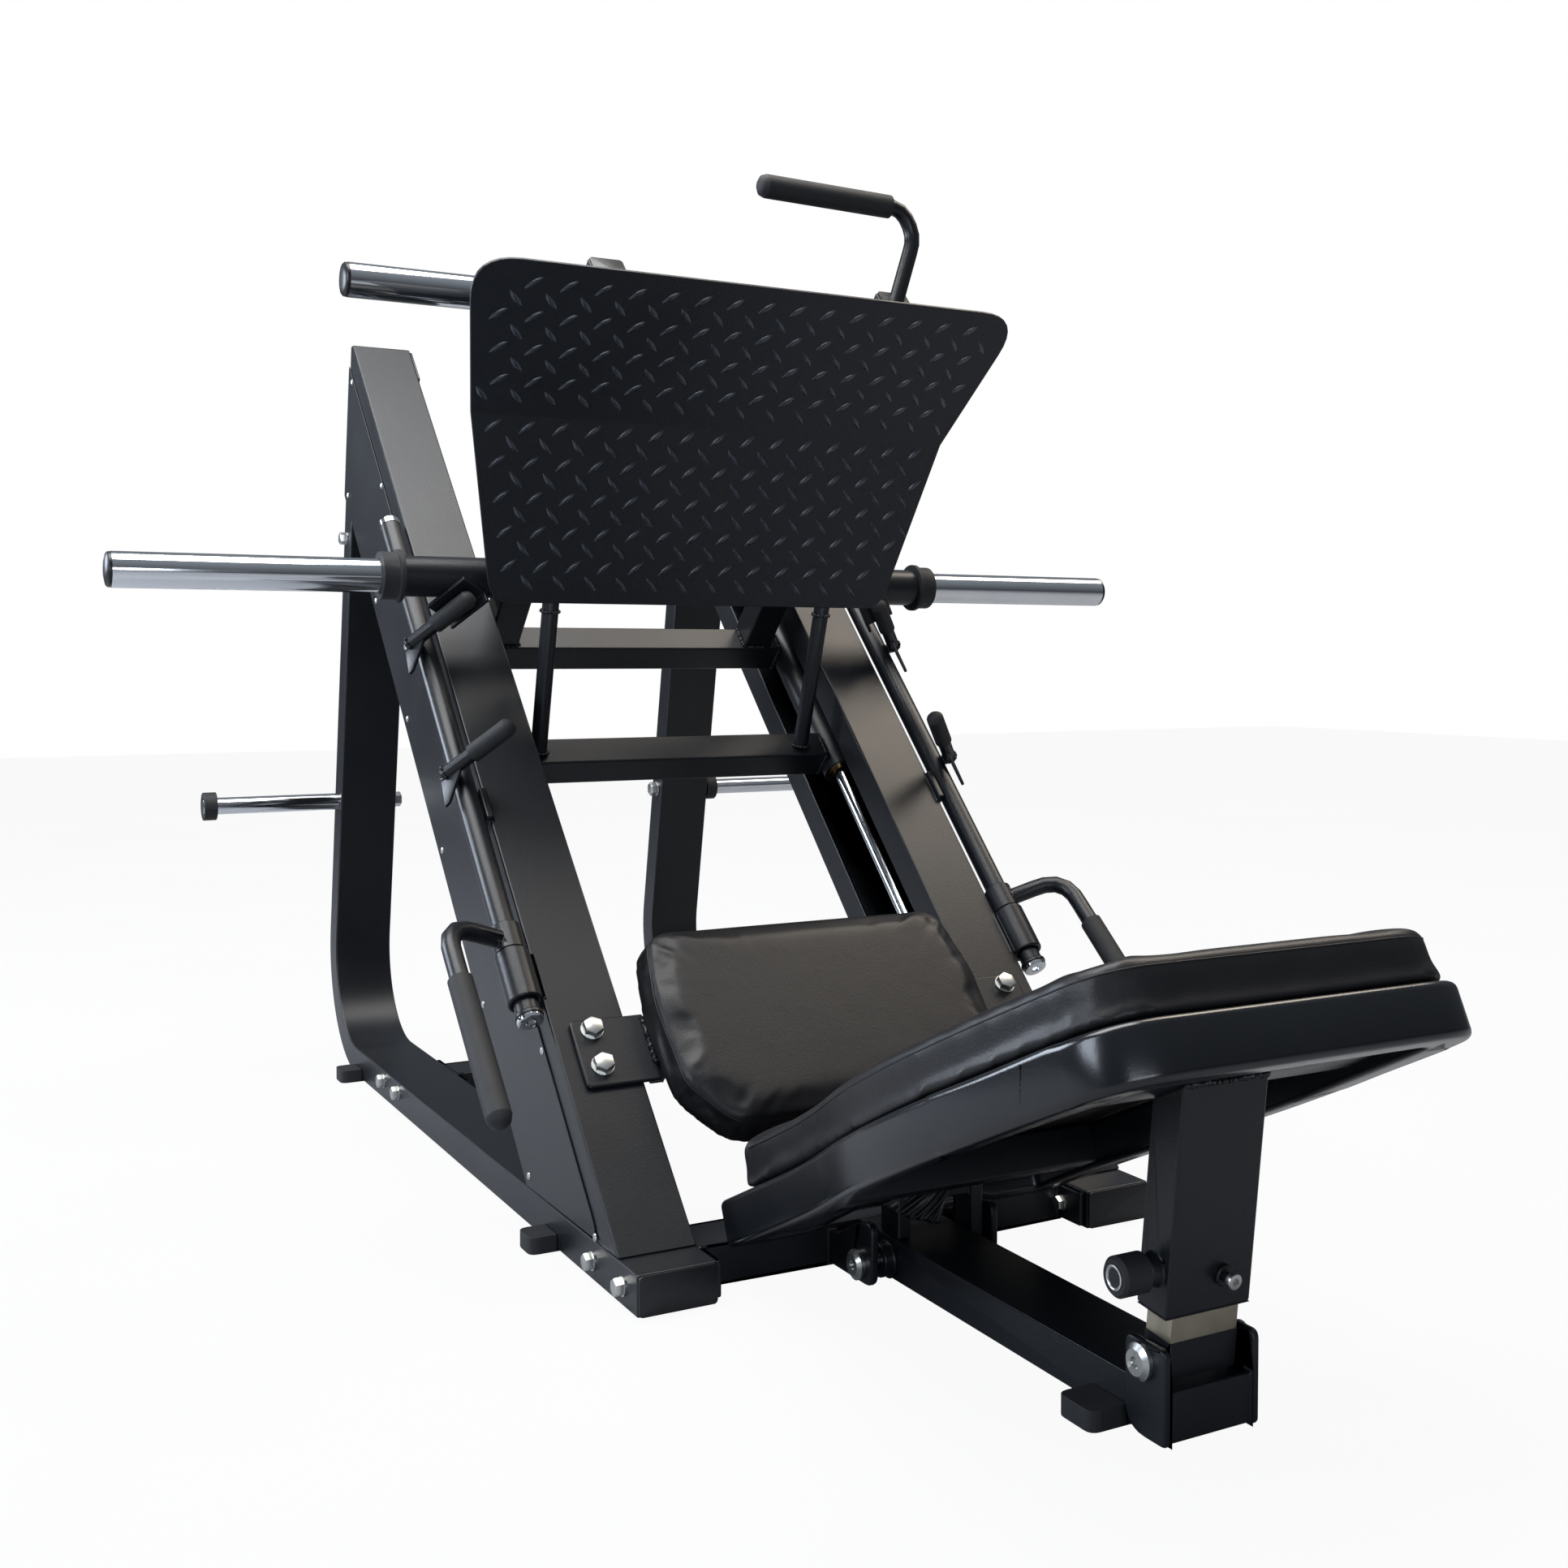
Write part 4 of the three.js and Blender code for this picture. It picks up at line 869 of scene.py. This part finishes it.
# %% Inflate a pad
def inflated(name, node, place, body, base, voxel, cap, shrink, pressure=4.0):
    mesh = merged_copy(node)
    bmesh.ops.recalc_face_normals(mesh, faces=mesh.faces)
    to_local = place.inverted()
    centre = sum((v.co for v in mesh.verts), Vector()) / len(mesh.verts)
    local_centre = to_local @ centre
    bmesh.ops.transform(mesh, matrix=to_local, verts=mesh.verts)
    half = [max(abs(v.co[i] - local_centre[i]) for v in mesh.verts) for i in range(2)]
    scale = [(h - shrink) / h for h in half]
    top = max(v.co.z for v in mesh.verts)
    for vert in mesh.verts:
        vert.co.x = local_centre.x + (vert.co.x - local_centre.x) * scale[0]
        vert.co.y = local_centre.y + (vert.co.y - local_centre.y) * scale[1]
        vert.co.z = min(vert.co.z, top - shrink * 0.6)
    edges = [e for e in mesh.edges if len(e.link_faces) == 2 and e.calc_face_angle() > 1.0
             and all(v.co.z > base + 0.02 for v in e.verts)]
    bmesh.ops.bevel(mesh, geom=edges, offset=0.013, affect="EDGES", segments=4, profile=0.5, material=-1,
                    clamp_overlap=False)
    data = bpy.data.meshes.new(name)
    mesh.to_mesh(data)
    mesh.free()
    pad = bpy.data.objects.new(name, data)
    bpy.context.collection.objects.link(pad)
    bpy.context.view_layer.objects.active = pad
    pad.select_set(True)
    remesh = pad.modifiers.new("even mesh", "REMESH")
    remesh.mode = "VOXEL"
    remesh.voxel_size = voxel
    bpy.ops.object.modifier_apply(modifier=remesh.name)
    before = [v.co.copy() for v in pad.data.vertices]
    pinned = pad.vertex_groups.new(name="base")
    pinned.add([v.index for v in pad.data.vertices if v.co.z < base + 0.006], 1.0, "REPLACE")
    cloth = pad.modifiers.new("cover", "CLOTH")
    cloth.settings.use_pressure = True
    cloth.settings.uniform_pressure_force = pressure
    cloth.settings.vertex_group_mass = "base"
    cloth.settings.effector_weights.gravity = 0.0
    cloth.point_cache.frame_start, cloth.point_cache.frame_end = 1, 20
    for step in range(1, 21):
        bpy.context.scene.frame_set(step)
    bpy.ops.object.modifier_apply(modifier=cloth.name)
    bpy.context.scene.frame_set(1)
    for vert, start in zip(pad.data.vertices, before):
        move = vert.co - start
        if move.length > cap:
            vert.co = start + move * (cap / move.length)
        vert.co.z = max(vert.co.z, base)
    finished = bmesh.new()
    finished.from_mesh(pad.data)
    bmesh.ops.smooth_vert(finished, verts=finished.verts, factor=0.5, use_axis_x=True, use_axis_y=True,
                          use_axis_z=True)
    bpy.data.objects.remove(pad)
    piece = make_piece(name, finished, VINYL, body, place, 180)
    smooth = piece.modifiers.new("smooth cover", "SUBSURF")
    smooth.levels = smooth.render_levels = 1
    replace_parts(piece, node)
    return piece


seat = inflated("seat_cushion", "seat_pad", SLOPE, "frame", 0.0012, 0.005, 0.006, 0.004)
back = inflated("back_cushion", "back_pad", BACK, "backrest", 0.0572, 0.007, 0.006, 0.004)
print("pad faces:", len(seat.data.polygons), len(back.data.polygons))

# %% [markdown]
# ## Sewn seams
# The top panel of each cover is sewn to its side band. The seam shows as a thin ridge just below the
# rolled edge, so its path is found by looking outwards from the middle of the pad at that height.

# %% Seams round the pads
def seam(name, pad, place, centre, height, body):
    data = pad.data
    tree = BVHTree.FromPolygons([v.co for v in data.vertices], [p.vertices for p in data.polygons])
    start = place @ Vector((*centre, height))
    spots = []
    for i in range(300):
        turn = 2 * math.pi * i / 300
        out = (place.to_3x3() @ Vector((math.cos(turn), math.sin(turn), 0))).normalized()
        hit = tree.ray_cast(start, out)[0]
        spots.append(hit - out * 0.0004)
    ridge = swept(spots, [0.0011] * len(spots), closed=True, sides=6)
    make_piece(name, ridge, VINYL, body, STILL, 180)


seam("seat_seam", seat, SLOPE, (0, 0.35), 0.041, "frame")
seam("back_seam", back, BACK, (0, 0.43), 0.102, "backrest")
print("seams: 2")

# %% [markdown]
# ## Floor, light and camera
# A pale floor that meets a pale world, one broad soft light above and a fill from the camera's side.

# %% Studio
def floor():
    mesh = bmesh.new()
    bmesh.ops.create_grid(mesh, x_segments=1, y_segments=1, size=12.0)
    material, tree, where = start_material("pale_floor")
    tone = add(tree, "TexNoise", {"Vector": where, "Scale": 1.5, "Detail": 3.0}).outputs["Fac"]
    matt = add(tree, "BsdfPrincipled", {
        "Base Color": blend_colours(tree, tone, "#8e9094", "#9a9ca0"), "Roughness": 0.8,
        "Specular IOR Level": 0.2})
    glow = add(tree, "Emission", {
        "Color": blend_colours(tree, tone, "#fdfdfd", "#ffffff"), "Strength": 1.02})
    seen = add(tree, "LightPath").outputs["Is Camera Ray"]
    share = add(tree, "Math", {0: seen, 1: 0.93}, operation="MULTIPLY").outputs[0]
    mixed = add(tree, "MixShader", {0: share, 1: matt.outputs["BSDF"], 2: glow.outputs["Emission"]})
    add(tree, "OutputMaterial", {"Surface": mixed.outputs["Shader"]})
    data = bpy.data.meshes.new("floor")
    bmesh.ops.translate(mesh, vec=(0, 0, -0.0005), verts=mesh.verts)
    mesh.to_mesh(data)
    mesh.free()
    data.materials.append(material)
    plane = bpy.data.objects.new("floor", data)
    bpy.context.collection.objects.link(plane)


def soft_light(name, at, aim, size, power, colour="#ffffff"):
    data = bpy.data.lights.new(name, "AREA")
    data.shape = "RECTANGLE"
    data.size, data.size_y = size
    data.energy = power
    data.color = linear(colour)[:3]
    light = bpy.data.objects.new(name, data)
    light.location = at
    light.rotation_euler = (Vector(aim) - Vector(at)).to_track_quat("-Z", "Y").to_euler()
    bpy.context.collection.objects.link(light)


floor()
soft_light("ceiling_panel", (-0.9, 0.3, 4.0), (0, 0, 0.4), (2.6, 3.4), 250)
soft_light("right_ceiling_panel", (2.4, 0.3, 4.0), (0.3, 0, 0.6), (1.5, 2.6), 90, "#fff1e0")
soft_light("left_window", (-3.4, 2.6, 1.7), (0, -0.3, 0.4), (2.0, 1.5), 130, "#e6f0ff")
soft_light("side_window", (-4.4, -0.6, 1.9), (0, 0, 0.6), (1.6, 1.8), 90, "#e6f0ff")
soft_light("front_fill", (-1.4, -4.6, 1.1), (0, 0.5, 1.0), (2.8, 1.2), 55, "#eaf2ff")
world = bpy.data.worlds.new("studio")
bpy.context.scene.world = world
world.use_nodes = True
tree = world.node_tree
tree.nodes.clear()
up = add(tree, "SeparateXYZ", {"Vector": add(tree, "TexCoord").outputs["Generated"]}).outputs["Z"]
height = add(tree, "MapRange", {"Value": up, "From Min": -0.1, "From Max": 0.9}).outputs["Result"]
room = add(tree, "Background", {"Color": blend_colours(tree, height, "#5a5e64", "#c4ccd6"), "Strength": 0.5})
backdrop = add(tree, "Background", {"Color": linear("#ffffff"), "Strength": 1.0})
seen = add(tree, "LightPath").outputs["Is Camera Ray"]
mixed = add(tree, "MixShader", {0: seen, 1: room.outputs["Background"], 2: backdrop.outputs["Background"]})
add(tree, "OutputWorld", {"Surface": mixed.outputs["Shader"]})
bpy.context.scene.view_settings.view_transform = "Standard"
print("lights:", len(bpy.data.lights))

# %% Camera
camera_data = bpy.data.cameras.new("camera")
camera_data.sensor_width = 36
camera_data.lens = 40.27
camera_data.shift_x = -0.0595
camera_data.shift_y = -0.0382
camera_data.clip_end = 60
camera = bpy.data.objects.new("camera", camera_data)
right = Vector((0.8678, -0.4969, 0.0009)).normalized()
back_axis = Vector((-0.4966, -0.8671, 0.0392)).normalized()
up = back_axis.cross(right).normalized()
turn = Matrix((right, up, back_axis)).transposed().to_4x4()
camera.matrix_world = Matrix.Translation((-1.1064, front_y - 1.8398, 0.7561)) @ turn
bpy.context.collection.objects.link(camera)
bpy.context.scene.camera = camera
print("camera at", [round(v, 3) for v in camera.location])
